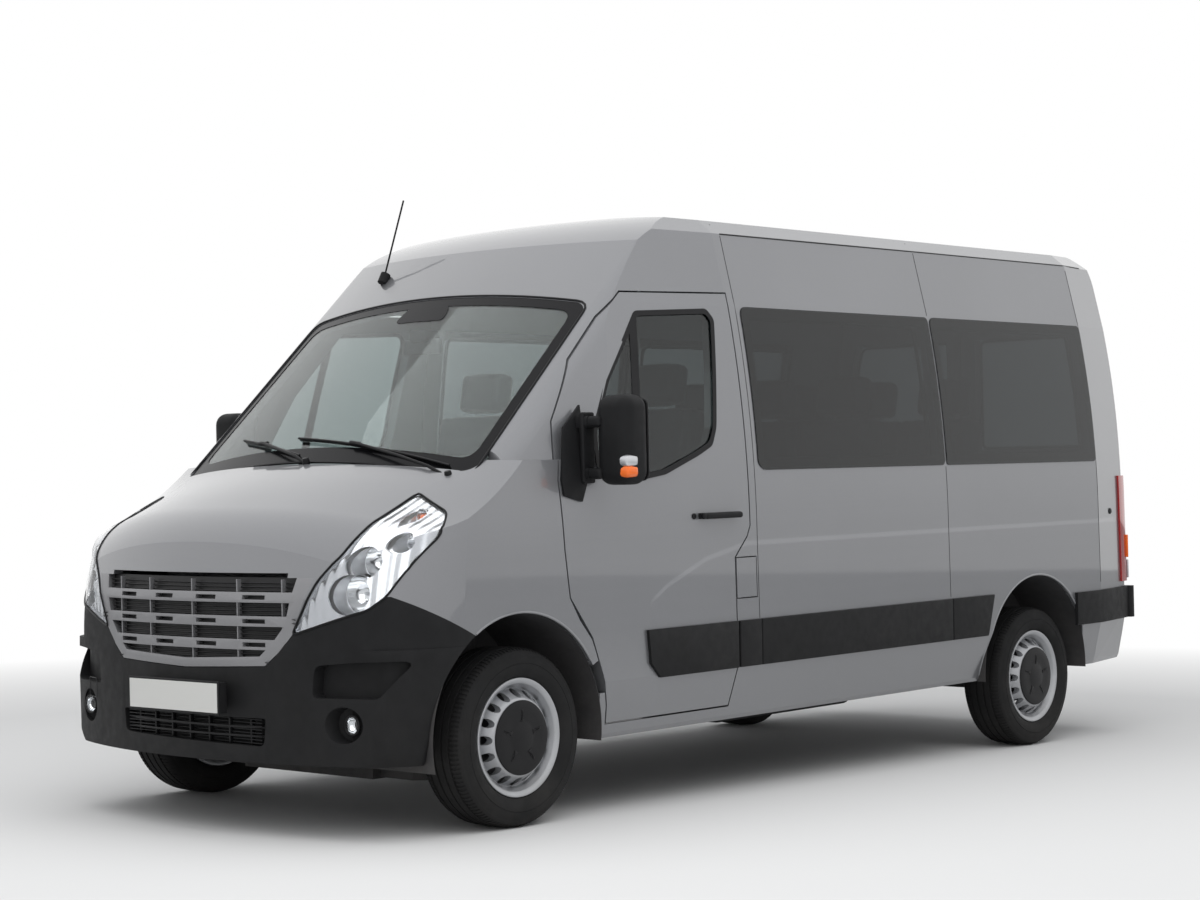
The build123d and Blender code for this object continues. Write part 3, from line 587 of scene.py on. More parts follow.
# every part of the frame gets the finish of its slot
slotFinish = {
    "paint": paint, "black_plastic": blackPlastic, "grille_paint": grilleSilver, "black_gloss": darkMesh,
    "tinted_glass": tintedGlass, "lamp_lens": clearLens, "reflector": brightHousing, "tail_lens": redLens,
    "tyre_rubber": tyreRubber, "wheel_paint": wheelSilver, "chassis": undercoat, "dash_plastic": dashPlastic,
    "seat_cloth": dashPlastic, "cast_metal": castMetal, "exhaust_steel": exhaustSteel,
}
for part in frame["record"]["subparts"]:
    node = cadNodes[part["node"]]
    node.data.materials.clear()
    node.data.materials.append(slotFinish[part["material_slot"]])
print("parts of the frame finished")

wheel = {
    "steps": 240, "tyreRadius": 339.0, "treadFall": 0.028, "grooveDepth": 7.0, "grooves": (-57, -20, 20, 57),
    "grooveHalf": 4.5, "grooveTaper": 0.8, "sipeRadius": (326, 337.4), "sipeFrom": 62.0, "sipeDepth": 3.0,
    "sidewall": ((79, 205), (86, 224), (95, 228), (101, 236), (108.5, 250), (112, 264), (112.3, 276),
                 (110.5, 277), (110.2, 279), (111.6, 280), (110, 292), (106, 306), (103, 311), (103, 313.5),
                 (101, 318), (95, 326), (86, 332.5), (74, 336.5)),
    "rimProfile": ((-88, 198), (-95, 206), (-97, 221), (-93, 224), (-88.5, 222), (-84, 206), (-80, 203.5),
                   (80, 203.5), (84, 206), (88.5, 222), (92, 224.5), (96.5, 223), (97.5, 219), (94.5, 212),
                   (91, 205), (86, 200), (79, 197.5), (74, 191), (62, 187.5), (54, 186.5), (52, 184),
                   (54, 180), (64, 173.5), (78, 165), (92, 156), (100, 150), (104, 145), (105, 139),
                   (104, 31), (8, 31), (8, 52), (86, 52), (88, 130), (82, 142), (66, 152), (48, 168),
                   (36, 184)),
    "holes": 16, "holeCircle": 166.0, "holeRadius": 17.0, "rimSteps": 128,
    "capProfile": ((100, 0.01), (100, 128), (104, 139), (107.5, 141), (110.5, 139), (112.5, 130),
                   (113.6, 100), (112.6, 70), (113.5, 55), (115.4, 46), (115.8, 0.01)),
    "capSteps": 80, "capMarks": 5, "markSide": 9, "markHalf": 3.0, "markRun": (62, 104), "markLean": 6,
    "markDepth": (111.5, 115.4), "nutCircle": 84.0, "nutRadius": 8.0,
    "places": (("front", 0.0, 875.0), ("rear", 3682.0, 865.0)),
}


def spinLine(piece, steps):
    editAll(piece)
    bpy.ops.mesh.spin(steps=steps, angle=2 * pi, center=(0, 0, 0), axis=(1, 0, 0))
    bpy.ops.mesh.select_all(action="SELECT")
    bpy.ops.mesh.remove_doubles(threshold=0.00002)
    bpy.ops.mesh.normals_make_consistent(inside=False)
    leaveEdit()


def selectFaces(piece, test):
    deselectAll()
    pick(piece)
    bpy.ops.object.mode_set(mode="EDIT")
    bpy.ops.mesh.select_mode(type="FACE")
    bpy.ops.mesh.select_all(action="DESELECT")
    leaveEdit()
    for polygon in piece.data.polygons:
        polygon.select = test(polygon)
    bpy.ops.object.mode_set(mode="EDIT")


def makeTyre():
    right = [(x, 0, r) for x, r in wheel["sidewall"]]
    tread = []
    half, bottom = wheel["grooveHalf"], wheel["tyreRadius"] - wheel["grooveDepth"]
    foot = half - wheel["grooveTaper"]
    for x in wheel["grooves"]:
        top = wheel["tyreRadius"] - abs(x) * wheel["treadFall"]
        tread += [(x - half, 0, top), (x - foot, 0, bottom), (x + foot, 0, bottom), (x + half, 0, top)]
    left = [(-x, 0, r) for x, _, r in right]
    piece = tracedLine("tyre", left + tread + right[::-1], closed=True)
    spinLine(piece, wheel["steps"])
    low, high = (r / 1000 for r in wheel["sipeRadius"])
    pitch = 2 * pi / wheel["steps"]

    def isSipe(polygon):
        c = polygon.center
        radius = hypot(c.y, c.z)
        step = int((atan2(c.z, c.y) + pi) / pitch)
        return low < radius < high and abs(c.x) * 1000 > wheel["sipeFrom"] and step % 2 == 0

    selectFaces(piece, isSipe)
    sink = -wheel["sipeDepth"] / 1000
    bpy.ops.mesh.extrude_region_shrink_fatten(TRANSFORM_OT_shrink_fatten={"value": sink})
    leaveEdit()
    smoothShade(piece, 32)
    return piece


def makeRim():
    piece = tracedLine("rim", [(x, 0, r) for x, r in wheel["rimProfile"]], closed=True)
    spinLine(piece, wheel["rimSteps"])
    cutters = []
    for k in range(wheel["holes"]):
        turn = 2 * pi * k / wheel["holes"]
        centre = (wheel["holeCircle"] * cos(turn), wheel["holeCircle"] * sin(turn))
        cutters.append(addRod("cutter", (20, *centre), (130, *centre), wheel["holeRadius"], 32))
    cutter = joinPieces(cutters, "holeCutter")
    cutWith(piece, cutter)
    bpy.data.objects.remove(cutter)
    smoothShade(piece, 40)
    return piece


def makeCap():
    piece = tracedLine("cap", [(x, 0, r) for x, r in wheel["capProfile"]])
    spinLine(piece, wheel["capSteps"])
    side, half, (near, far) = wheel["markSide"], wheel["markHalf"], wheel["markDepth"]
    low, high = wheel["markRun"]
    marks = []
    for k in range(wheel["capMarks"]):
        turn = Matrix.Rotation(2 * pi * k / wheel["capMarks"], 4, "X")
        for sign in (-1, 1):
            bar = softBox("mark", (near, sign * side - half, low), (far, sign * side + half, high), 1.2)
            bar.data.transform(Matrix.Rotation(sign * radians(wheel["markLean"]), 4, "X"))
            marks.append(bar)
        marks.append(softBox("mark", (near, -side, low - 2), (far - 0.2, side, low + 4), 1.2))
        marks.append(addRod("mark", (near - 3.5, 0, wheel["nutCircle"]), (far - 0.8, 0, wheel["nutCircle"]),
                            wheel["nutRadius"], 6))
        for mark in marks[-4:]:
            mark.data.transform(turn)
    centre = softBox("mark", (near + 0.5, -2, -2), (far + 0.5, 2, 2), 1.0)
    return joinPieces([piece] + marks + [centre], "cap")


def placeWheels():
    tyre, rim, cap = makeTyre(), makeRim(), makeCap()
    smoothShade(cap, 35)
    for end, y, x in wheel["places"]:
        for side, sign in (("left", 1), ("right", -1)):
            for source, kind, slotName, finish in ((tyre, "tyre", "tyre_rubber", tyreRubber),
                                                   (rim, "rim", "wheel_paint", wheelSilver),
                                                   (cap, "wheelCap", "black_plastic", blackTrim)):
                name = f"{kind}_{end}_{side}_detail"
                copy = ownCopy(source, name) if sign == 1 else mirrorCopy(source, name)
                copy.data.transform(Matrix.Translation(mm(sign * x, y, wheel["tyreRadius"])))
                finishPiece(copy, f"wheel_{end}_{side}", finish, groundPlace)
                if kind != "wheelCap":
                    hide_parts(f"{kind}_{end}_{side}")
    for piece in (tyre, rim, cap):
        bpy.data.objects.remove(piece)


placeWheels()
print("wheels made")


# surface probes on the frame, in level body millimetres
def skinTree(names):
    toBody = bodyPlace.inverted()
    vertices, polygons = [], []
    for name in names:
        mesh = cadNodes[name].data
        base = len(vertices)
        vertices += [toBody @ v.co for v in mesh.vertices]
        polygons += [[base + i for i in p.vertices] for p in mesh.polygons]
    return BVHTree.FromPolygons(vertices, polygons)


frontSkin = skinTree(("front_bumper", "grille", "headlamp_lenses", "front_wings", "bonnet"))
noseSkin = skinTree(("front_bumper", "headlamp_lenses", "front_wings", "bonnet", "grille_mesh"))
sideSkin = skinTree(("front_wings", "door_left", "door_glass_left", "cab_frame", "side_front_left",
                     "side_rear_left", "fixed_glass", "roof_front", "roof_rear", "floor_pan", "bonnet"))
topSkin = skinTree(("roof_front", "roof_rear", "bonnet", "fixed_glass", "front_wings", "cab_frame",
                    "side_front_left", "side_rear_left", "headlamp_lenses"))


def onFront(x, z, lift=0.0, tree=frontSkin):
    hit = tree.ray_cast(mm(x, -1200, z), Vector((0, 1, 0)))
    return (x, hit[0].y * 1000 - lift, z) if hit[0] else None


def onSide(y, z, lift=0.0, tree=sideSkin):
    hit = tree.ray_cast(mm(1400, y, z), Vector((-1, 0, 0)))
    return (hit[0].x * 1000 + lift, y, z) if hit[0] else None


def onTop(x, y, lift=0.0, tree=topSkin):
    hit = tree.ray_cast(mm(x, y, 2800), Vector((0, 0, -1)))
    return (x, y, hit[0].z * 1000 + lift) if hit[0] else None


def runAlong(points, step, closed=False):
    ends = list(zip(points, points[1:] + points[:1] if closed else points[1:]))
    result = []
    for a, b in ends:
        count = max(1, int(hypot(b[0] - a[0], b[1] - a[1]) / step))
        result += [tuple(p + (q - p) * k / count for p, q in zip(a, b)) for k in range(count)]
    return result if closed else result + [tuple(points[-1])]


def roundedRun(points, radius, step, closed=True):
    corners, count = [], len(points)
    for k, p in enumerate(points):
        if not closed and k in (0, count - 1):
            corners.append(p)
            continue
        before, after = points[k - 1], points[(k + 1) % count]
        a = Vector(before) - Vector(p)
        b = Vector(after) - Vector(p)
        r = radius[k] if isinstance(radius, (list, tuple)) else radius
        cut = min(r, a.length * 0.45, b.length * 0.45)
        start, end = Vector(p) + a.normalized() * cut, Vector(p) + b.normalized() * cut
        for t in (0, 0.25, 0.5, 0.75, 1):
            corners.append(tuple(start * (1 - t) ** 2 + Vector(p) * 2 * t * (1 - t) + end * t * t))
    return runAlong(corners, step, closed)


def probed(points, probe, lift=0.0, tree=None):
    found = [probe(*p, lift) if tree is None else probe(*p, lift, tree) for p in points]
    return [p for p in found if p]


def bead(name, points, radius, closed=False, sides=2):
    piece = tracedLine(name, points, closed)
    pick(piece)
    bpy.ops.object.convert(target="CURVE")
    piece = bpy.context.object
    piece.data.bevel_depth = radius / 1000
    piece.data.bevel_resolution = sides
    piece.data.use_fill_caps = True
    bpy.ops.object.convert(target="MESH")
    piece = bpy.context.object
    smoothShade(piece, 50)
    return piece


def bothSides(piece, name, body, finish, bodyRight=None, smooth=None):
    if smooth:
        smoothShade(piece, smooth)
    other = mirrorCopy(piece, name + "_right")
    piece.name = name + "_left"
    finishPiece(piece, body, finish)
    finishPiece(other, bodyRight or body, finish)


headlamp = {
    "outline": ((548, 760), (650, 955), (729, 1048), (752, 1128), (752, 1268), (925, 1196), (984, 1136),
                (980, 1104), (890, 898), (841, 850)),
    "sealRadius": 4.5, "shellBack": 16, "wallDepth": 70, "wallShrink": 0.975,
    "bowls": ((762, -596, 905, 70, 70), (800, -548, 1019, 56, 55), (893, -445, 1088, 34, 40)),
    "indicator": (842, -352, 1176, 27),
}


def spunBowl(name, x, y, z, radius, depth):
    profile = [(radius + 6, 0), (radius + 4, -4), (radius, -3), (radius * 0.97, 6),
               (radius * 0.9, depth * 0.35), (radius * 0.72, depth * 0.65), (radius * 0.45, depth * 0.86),
               (radius * 0.2, depth * 0.95), (0.01, depth)]
    piece = tracedLine(name, [(p, q, 0) for p, q in profile])
    editAll(piece)
    bpy.ops.mesh.spin(steps=48, angle=2 * pi, center=(0, 0, 0), axis=(0, 1, 0))
    bpy.ops.mesh.select_all(action="SELECT")
    bpy.ops.mesh.remove_doubles(threshold=0.0001)
    bpy.ops.mesh.normals_make_consistent(inside=True)
    leaveEdit()
    addModifier(piece, "SOLIDIFY", thickness=0.002, offset=1)
    piece.data.transform(Matrix.Translation(mm(x, y, z)))
    smoothShade(piece, 40)
    return piece


def makeFlutes():
    material, tree, shader, place = newMaterial("flutedChrome", 0.26, 0.95, rgb(0.50, 0.51, 0.53))
    band = addNode(tree, "ShaderNodeTexWave", [(place, "Vector")], bands_direction="X", in_Scale=9.0)
    tree.links.new(bumpFrom(tree, band.outputs["Fac"], 0.6, 0.004), shader.inputs["Normal"])
    return material


flutedChrome = makeFlutes()


def makeLampWalls(outline):
    line = probed(outline, onFront, -7)
    wall = tracedLine("wall", line, closed=True)
    editAll(wall)
    bpy.ops.mesh.select_all(action="SELECT")
    centre = sum((Vector(p) for p in line), Vector()) / len(line) / 1000
    shrink = headlamp["wallShrink"]
    bpy.ops.transform.resize(value=(shrink, 1.0, shrink), center_override=centre)
    bpy.ops.mesh.extrude_region_move(TRANSFORM_OT_translate={"value": mm(0, headlamp["wallDepth"], 0)})
    leaveEdit()
    addModifier(wall, "SOLIDIFY", thickness=0.0015, offset=0)
    bothSides(wall, "headlamp_wall", "root", brightHousing, smooth=40)


def makeHeadlamps():
    housing = cadCopy("headlamps", "headlamp_housing")
    housing.data.transform(bodyPlace.inverted())
    cutters = []
    for sign in (1, -1):
        for x, y, z, radius, depth in headlamp["bowls"]:
            start, end = (sign * x, y - 200, z), (sign * x, y + depth + 6, z)
            cutters.append(addRod("cutter", start, end, radius + 3, 48))
        x, y, z, radius = headlamp["indicator"]
        cutters.append(addRod("cutter", (sign * x, y - 200, z), (sign * x, y + 40, z), radius + 2, 32))
    shell = cadCopy("headlamp_lenses", "headlamp_shell")
    shell.data.transform(Matrix.Translation(mm(0, headlamp["shellBack"], 0)) @ bodyPlace.inverted())
    for cutter in cutters:
        for piece in (housing, shell):
            cutWith(piece, cutter)
        bpy.data.objects.remove(cutter)
    finishPiece(shell, "root", flutedChrome, smooth=30)
    finishPiece(housing, "root", brightHousing, smooth=30)
    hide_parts("headlamps")
    for k, (x, y, z, radius, depth) in enumerate(headlamp["bowls"]):
        bothSides(spunBowl("bowl", x, y, z, radius, depth), f"headlamp_bowl_{k}", "root", chrome)
        bulb = joinPieces([addRod("bulb", (x, y + depth - 3, z), (x, y + depth * 0.45, z), 8, 20),
                           addRod("bulb", (x, y + depth * 0.45, z), (x, y + depth * 0.3, z), 8, 20, 5),
                           addRod("bulb", (x, y + depth, z), (x, y + depth * 0.8, z), 15, 20)], "bulb")
        softenEdges(bulb, 1.5)
        bothSides(bulb, f"headlamp_bulb_{k}", "root", brightHousing, smooth=35)
    x, y, z, radius = headlamp["indicator"]
    bothSides(spunBowl("indicator", x, y, z, radius, 34), "indicator_bowl", "root", chrome)
    lamp = addRod("indicatorBulb", (x, y + 30, z), (x, y - 8, z), 13, 24, 9)
    softenEdges(lamp, 3)
    bothSides(lamp, "indicator_bulb", "root", amberLens, smooth=35)
    outline = roundedRun(list(headlamp["outline"]), 22, 14)
    makeLampWalls(outline)
    seal = bead("seal", probed(outline, onFront, 0.5), headlamp["sealRadius"], closed=True)
    bothSides(seal, "headlamp_seal", "root", blackTrim)


makeHeadlamps()
print("headlamps made")

grille = {"ribs": (-440, -225, 40, 285, 500), "ribHalf": 3, "ribReach": (640, 962), "slatFrom": 655,
          "slatTo": 950, "slatPitch": 14.5, "halfWidth": 610, "soften": 4.0}


def makeGrille():
    soften = (grille["soften"], 3, 40)
    dressCopy("grille", "grille_surround", "root", grilleSilver, soften, 40)
    half, (low, high) = grille["ribHalf"], grille["ribReach"]
    ribs = []
    for x in grille["ribs"]:
        y = onFront(x, 740, 0, noseSkin)[1]
        ribs.append(softBox("rib", (x - half, y - 24, low), (x + half, y - 2, high), 1.5))
    finishPiece(joinPieces(ribs, "grille_ribs"), "root", grilleSilver)
    slats = []
    z = grille["slatFrom"]
    while z < grille["slatTo"]:
        reach = grille["halfWidth"] - max(0, 800 - z) * 0.9 - 40
        xs = [-reach + 2 * reach * k / 24 for k in range(25)]
        line = probed([(x, z) for x in xs], onFront, 6, noseSkin)
        slat = tracedLine("slat", line)
        editAll(slat)
        bpy.ops.mesh.extrude_region_move(TRANSFORM_OT_translate={"value": mm(0, -8, 3.5)})
        leaveEdit()
        addModifier(slat, "SOLIDIFY", thickness=0.002, offset=0)
        slats.append(slat)
        z += grille["slatPitch"]
    finishPiece(joinPieces(slats, "grille_slats"), "root", darkMesh)


makeGrille()
print("grille made")

bumper = {
    "intake": ((628, 533), (640, 650), (800, 664), (975, 668), (890, 532)), "intakeDepth": 52,
    "dish": (752, 437, 66, 46), "fogLamp": (776, 437, 30), "slot": (412, 348, 452),
    "slotRound": (30, 12, 12, 30), "slotBars": (383, 416), "slotRibs": (-330, -220, -110, 0, 110, 220, 330),
    "slats": 8, "slatPitch": 12.5, "slatReach": 395, "plate": (260, 472, 581, -861.5), "plateMargin": 8,
    "towCover": (-715, 512, 38),
}


def makeBumper():
    shell = cadCopy("front_bumper", "bumper_shell")
    shell.data.transform(bodyPlace.inverted())
    cutters = []
    reach, low, high = bumper["slot"]
    slotLine = roundedRun([(-reach, low + 14), (-reach - 8, high), (reach + 8, high), (reach, low)],
                          bumper["slotRound"], 30)
    for sign in (1, -1):
        line = roundedRun([(sign * x, z) for x, z in bumper["intake"]], (24, 30, 10, 40, 24), 30)
        cutters.append(plate("cutter", [(x, -900, z) for x, z in line], (0, 500, 0)))
        x, z, radius, depth = bumper["dish"]
        surface = onFront(x, z)[1]
        cutters.append(addRod("cutter", (sign * (x - 30), surface - 120, z),
                              (sign * (x + 12), surface + depth, z), radius, 64))
    cutters.append(plate("cutter", [(x, -900, z) for x, z in slotLine], (0, 500, 0)))
    cutter = joinPieces(cutters, "bumperCutter")
    floor = cadCopy("front_bumper", "bumper_floor")
    floor.data.transform(Matrix.Translation(mm(0, bumper["intakeDepth"], 0)) @ bodyPlace.inverted())
    cutWith(floor, cutter, "INTERSECT")
    cutWith(shell, cutter)
    bpy.data.objects.remove(cutter)
    editAll(shell)
    bpy.ops.mesh.remove_doubles(threshold=0.00005)
    leaveEdit()
    flatten(shell, 0.6)
    softenEdges(shell, 3.5, 3, 40)
    finishPiece(shell, "root", blackPlastic, smooth=42)
    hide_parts("front_bumper")
    finishPiece(floor, "root", blackPlastic, smooth=35)
    bars = []
    for z in bumper["slotBars"]:
        line = probed([(x, z) for x in range(-400, 401, 40)], onFront, -16)
        bar = tracedLine("bar", line)
        editAll(bar)
        bpy.ops.mesh.extrude_region_move(TRANSFORM_OT_translate={"value": mm(0, 16, 0)})
        leaveEdit()
        addModifier(bar, "SOLIDIFY", thickness=0.009, offset=0)
        softenEdges(bar, 2, 2)
        bars.append(bar)
    for x in bumper["slotRibs"]:
        y = onFront(x, 400)[1]
        bars.append(softBox("bar", (x - 4, y + 18, low + 4), (x + 4, y + 36, high - 4), 2))
    y, wide = onFront(0, 400)[1], bumper["slatReach"]
    for k in range(bumper["slats"]):
        z = low + 10 + k * bumper["slatPitch"]
        bars.append(softBox("bar", (-wide, y + 36, z - 2), (wide, y + 44, z + 2), 1))
    grid = joinPieces(bars, "lower_grille")
    finishPiece(grid, "root", blackTrim, smooth=35)
    half, low, high, y = bumper["plate"]
    rim = bumper["plateMargin"]
    bed = softBox("plate_holder", (-half - rim, y + 1, low - rim), (half + rim, y + 9, high + rim), 3)
    finishPiece(bed, "root", blackTrim)
    sheet = softBox("number_plate_blank", (-half, y - 1.2, low), (half, y + 2, high), 1)
    finishPiece(sheet, "root", plateFace)


def makeFogLamps():
    x, z, radius = bumper["fogLamp"]
    y = onFront(x, z)[1] + bumper["dish"][3] - 30
    pod = spunBowl("pod", x, y, z, radius, 26)
    bothSides(pod, "fog_lamp_bowl", "root", chrome)
    glass = addRod("glass", (x, y - 6, z), (x, y - 2, z), radius + 2, 48)
    softenEdges(glass, 1.5)
    bothSides(glass, "fog_lamp_glass", "root", clearLens, smooth=35)
    turns = [t * pi / 24 for t in range(48)]
    ring = bead("ring", [(x + (radius + 4) * cos(t), y - 2, z + (radius + 4) * sin(t)) for t in turns], 5,
                closed=True)
    bothSides(ring, "fog_lamp_ring", "root", blackTrim)


def makeTowCover():
    x, z, half = bumper["towCover"]
    line = roundedRun([(x - half, z - half), (x - half, z + half), (x + half, z + half),
                       (x + half, z - half)], 9, 8)
    seam = bead("tow_cover_seam", probed(line, onFront, 0.2), 1.6, closed=True)
    finishPiece(seam, "root", darkMesh)


plateFace = plainFinish("plateFace", rgb(0.62, 0.62, 0.60), 0.35, 0.0, 900.0, 0.00005)
makeBumper()
makeFogLamps()
makeTowCover()
print("bumper made")

mirror = {"low": (1064, 350, 1277), "high": (1233, 498, 1623), "round": 52, "rimInset": 18, "paneInset": 24,
          "paneSplit": 116, "arms": ((1502, 1543), (1302, 1343)),
          "armFoot": ((1008, 330, 1285), (1030, 400, 1560)), "lamp": ((1160, 1236), (352, 420), (1305, 1392)),
          "clearOf": ((1045, 1300), (325, 525), (1255, 1645))}
handle = {"bar": (1033, 1286, 1138, 13), "stand": (12, 33), "foot": 34, "lock": (26, 12)}


# sail, moulding and grip stay as modelled, the mirror head is made anew
def makeDoorTrims():
    (x0, x1), (y0, y1), (z0, z1) = mirror["clearOf"]
    for side, sign in (("left", 1), ("right", -1)):
        trim = cadCopy("door_fittings_" + side, "door_trim_" + side)
        trim.data.transform(bodyPlace.inverted())
        near, far = sorted((sign * x0, sign * x1))
        cutter = addBox("cutter", (near, y0, z0), (far, y1, z1))
        cutWith(trim, cutter)
        bpy.data.objects.remove(cutter)
        softenEdges(trim, 2.5, 3, 40)
        finishPiece(trim, "door_" + side, blackPlastic, smooth=42)
        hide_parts("door_fittings_" + side)


makeDoorTrims()


def makeMirrors():
    head = softBox("head", mirror["low"], mirror["high"], mirror["round"], 6)
    bothSides(head, "mirror_head", "door_left", blackPlastic, "door_right", smooth=50)
    x0, y0, z0 = mirror["low"]
    x1, y1, z1 = mirror["high"]
    edge = mirror["rimInset"]
    corners = [(x0 + edge, z0 + edge), (x0 + edge, z1 - edge), (x1 - edge, z1 - edge), (x1 - edge, z0 + edge)]
    rim = bead("rim", [(x, y1 - 3, z) for x, z in roundedRun(corners, 30, 12)], 5, closed=True)
    bothSides(rim, "mirror_rim", "door_left", blackTrim, "door_right")
    inset, split = mirror["paneInset"], z0 + mirror["paneSplit"]
    panes = joinPieces([softBox("pane", (x0 + inset, y1 - 2, low), (x1 - inset, y1 + 0.8, high), 1)
                        for low, high in ((split + 4, z1 - inset), (z0 + inset, split - 4))], "panes")
    bothSides(panes, "mirror_pane", "door_left", mirrorGlass, "door_right")
    arms = [softBox("arm", (1000, 338, low), (1105, 418, high), 14, 4) for low, high in mirror["arms"]]
    armPiece = joinPieces(arms + [softBox("arm", *mirror["armFoot"], 8, 3)], "arms")
    bothSides(armPiece, "mirror_arms", "door_left", blackPlastic, "door_right", smooth=45)
    (lx0, lx1), (ly0, ly1), (lz0, lz1) = mirror["lamp"]
    clear = softBox("clear", (lx0, ly0, lz0 + 40), (lx1, ly1, lz1), 16, 4)
    bothSides(clear, "mirror_lamp_clear", "door_left", brightHousing, "door_right", smooth=45)
    amber = softBox("amber", (lx0, ly0 + 1, lz0), (lx1, ly1, lz0 + 46), 16, 4)
    bothSides(amber, "mirror_lamp_amber", "door_left", amberLens, "door_right", smooth=45)


mirrorGlass = plainFinish("mirrorGlass", rgb(0.55, 0.58, 0.60), 0.03, 1.0, 10.0, 0.00002)
makeMirrors()


def makeHandles():
    y0, y1, z, half = handle["bar"]
    near, far = handle["stand"]
    foot, (lockGap, lockRadius) = handle["foot"], handle["lock"]
    x = onSide((y0 + y1) / 2, z)[0]
    bar = softBox("bar", (x + near, y0, z - half), (x + far, y1, z + half), 9, 4)
    feet = [softBox("foot", (x - 6, y, z - half + 1), (x + far - 7, y + foot, z + half - 1), 5, 3)
            for y in (y0 + 4, y1 - foot - 6)]
    piece = joinPieces([bar] + feet, "handle")
    bothSides(piece, "door_handle", "door_left", blackTrim, "door_right", smooth=45)
    lock = addRod("lock", (x - 4, y0 - lockGap, z), (x + 5, y0 - lockGap, z), lockRadius, 32)
    softenEdges(lock, 2)
    bothSides(lock, "door_lock", "door_left", blackTrim, "door_right", smooth=35)


makeHandles()
print("mirrors and handles made")

# glass and its black borders, wipers, cowl
glazing = {
    "foot": (-175, 1388), "head": (560, 2068), "bow": 3800,
    "screenOuter": ((-852, 4), (852, 4), (817, 1008), (-817, 1008)), "outerRound": 62,
    "screenInner": ((-798, 92), (798, 92), (768, 950), (-768, 950)), "innerRound": 70,
    "sensor": ((-150, 860), (150, 860), (120, 962), (-120, 962)), "sensorRound": 40,
    "sensorBox": ((-52, 452, 1880), (52, 540, 1935)), "sideArc": ((1017, 1036), (1003, 1420), (925, 2010)),
    "panes": (((1486, 1319), (2866, 1319), (2866, 2012), (1450, 2012), (1450, 1345)),
              ((2881, 1319), (4250, 1319), (4250, 2012), (2881, 2012))),
    "paneRound": (20, 30, 30, 40, 20), "paneBorder": 46, "borderRound": 34, "paneLift": 0.6, "paneThick": 3.4,
    "sealDepth": 58, "sealRadius": 9,
    "doorWindow": ((440, 1345), (440, 1480), (560, 1690), (800, 1968), (1228, 1990), (1262, 1950),
                   (1185, 1500), (1150, 1430), (1060, 1392), (840, 1318), (700, 1300), (480, 1300)),
    "divider": ((660, 788), (1280, 1990), 22), "doorLean": (1369, 1300, 0.000086244),
}
wiper = {"blades": ((-150, 140, 740, 34), (-560, 182, -60, 36)), "pivots": ((770, -22), (20, -14)),
         "meets": (0.42, 0.40), "armBends": ((0.18, 30), (0.5, 28), (1, 22)), "lipHeight": 12,
         "armRadius": 6.5, "spineRadius": 5.0, "clip": (28, 9)}


def onScreen(x, d, lift=0.0):
    (fy, fz), (hy, hz) = glazing["foot"], glazing["head"]
    run = hypot(hy - fy, hz - fz)
    ay, az = (hy - fy) / run, (hz - fz) / run
    sag = glazing["bow"] - (glazing["bow"] ** 2 - x * x) ** 0.5 - lift
    return (x, fy + ay * d + az * sag, fz + az * d - ay * sag)


def circleThrough(a, b, c):
    d = 2 * (a[0] * (b[1] - c[1]) + b[0] * (c[1] - a[1]) + c[0] * (a[1] - b[1]))
    squares = [p[0] ** 2 + p[1] ** 2 for p in (a, b, c)]
    x = (squares[0] * (b[1] - c[1]) + squares[1] * (c[1] - a[1]) + squares[2] * (a[1] - b[1])) / d
    z = (squares[0] * (c[0] - b[0]) + squares[1] * (a[0] - c[0]) + squares[2] * (b[0] - a[0])) / d
    return x, z, hypot(a[0] - x, a[1] - z)


sideCentre = circleThrough(*glazing["sideArc"])


def onSideArc(y, z, lift=0.0):
    x, centreZ, radius = sideCentre
    return (x + ((radius + lift) ** 2 - (z - centreZ) ** 2) ** 0.5, y, z)


def insetCorners(points, distance):
    area = sum(a[0] * b[1] - b[0] * a[1] for a, b in zip(points, points[1:] + points[:1]))
    sign = 1 if area > 0 else -1
    result = []
    for k, p in enumerate(points):
        a = (Vector(p) - Vector(points[k - 1])).normalized()
        b = (Vector(points[(k + 1) % len(points)]) - Vector(p)).normalized()
        shift = Vector((-a.y - b.y, a.x + b.x)) * sign * distance / (1 + a.dot(b))
        result.append(tuple(Vector(p) + shift))
    return result


# thin sheet that follows a surface inside an outline, with an optional hole
def skinPatch(name, outline, surface, lift, thickness, prism, hole=None, cells=(36, 24)):
    lowU, highU = min(p[0] for p in outline) - 8, max(p[0] for p in outline) + 8
    lowV, highV = min(p[1] for p in outline) - 8, max(p[1] for p in outline) + 8
    deselectAll()
    bpy.ops.mesh.primitive_grid_add(x_subdivisions=cells[0], y_subdivisions=cells[1], size=1)
    sheet = bpy.context.object
    sheet.name = name
    for vertex in sheet.data.vertices:
        u, v = vertex.co.x + 0.5, vertex.co.y + 0.5
        vertex.co = mm(*surface(lowU + (highU - lowU) * u, lowV + (highV - lowV) * v, lift))
    editAll(sheet)
    bpy.ops.mesh.extrude_region_shrink_fatten(TRANSFORM_OT_shrink_fatten={"value": thickness / 1000})
    bpy.ops.mesh.select_all(action="SELECT")
    bpy.ops.mesh.normals_make_consistent(inside=False)
    leaveEdit()
    for line, operation in ((outline, "INTERSECT"), (hole, "DIFFERENCE")):
        if line:
            cutter = prism(line)
            cutWith(sheet, cutter, operation)
            bpy.data.objects.remove(cutter)
    smoothShade(sheet, 30)
    return sheet


def sidePrism(line):
    return plate("cutter", [(700, y, z) for y, z in line], (500, 0, 0))


def screenPrism(line):
    above = [tuple(Vector(onScreen(0, d, 400)) + Vector((x, 0, 0))) for x, d in line]
    return plate("cutter", above, tuple(Vector(onScreen(0, 0, -700)) - Vector(onScreen(0, 0, 400))))


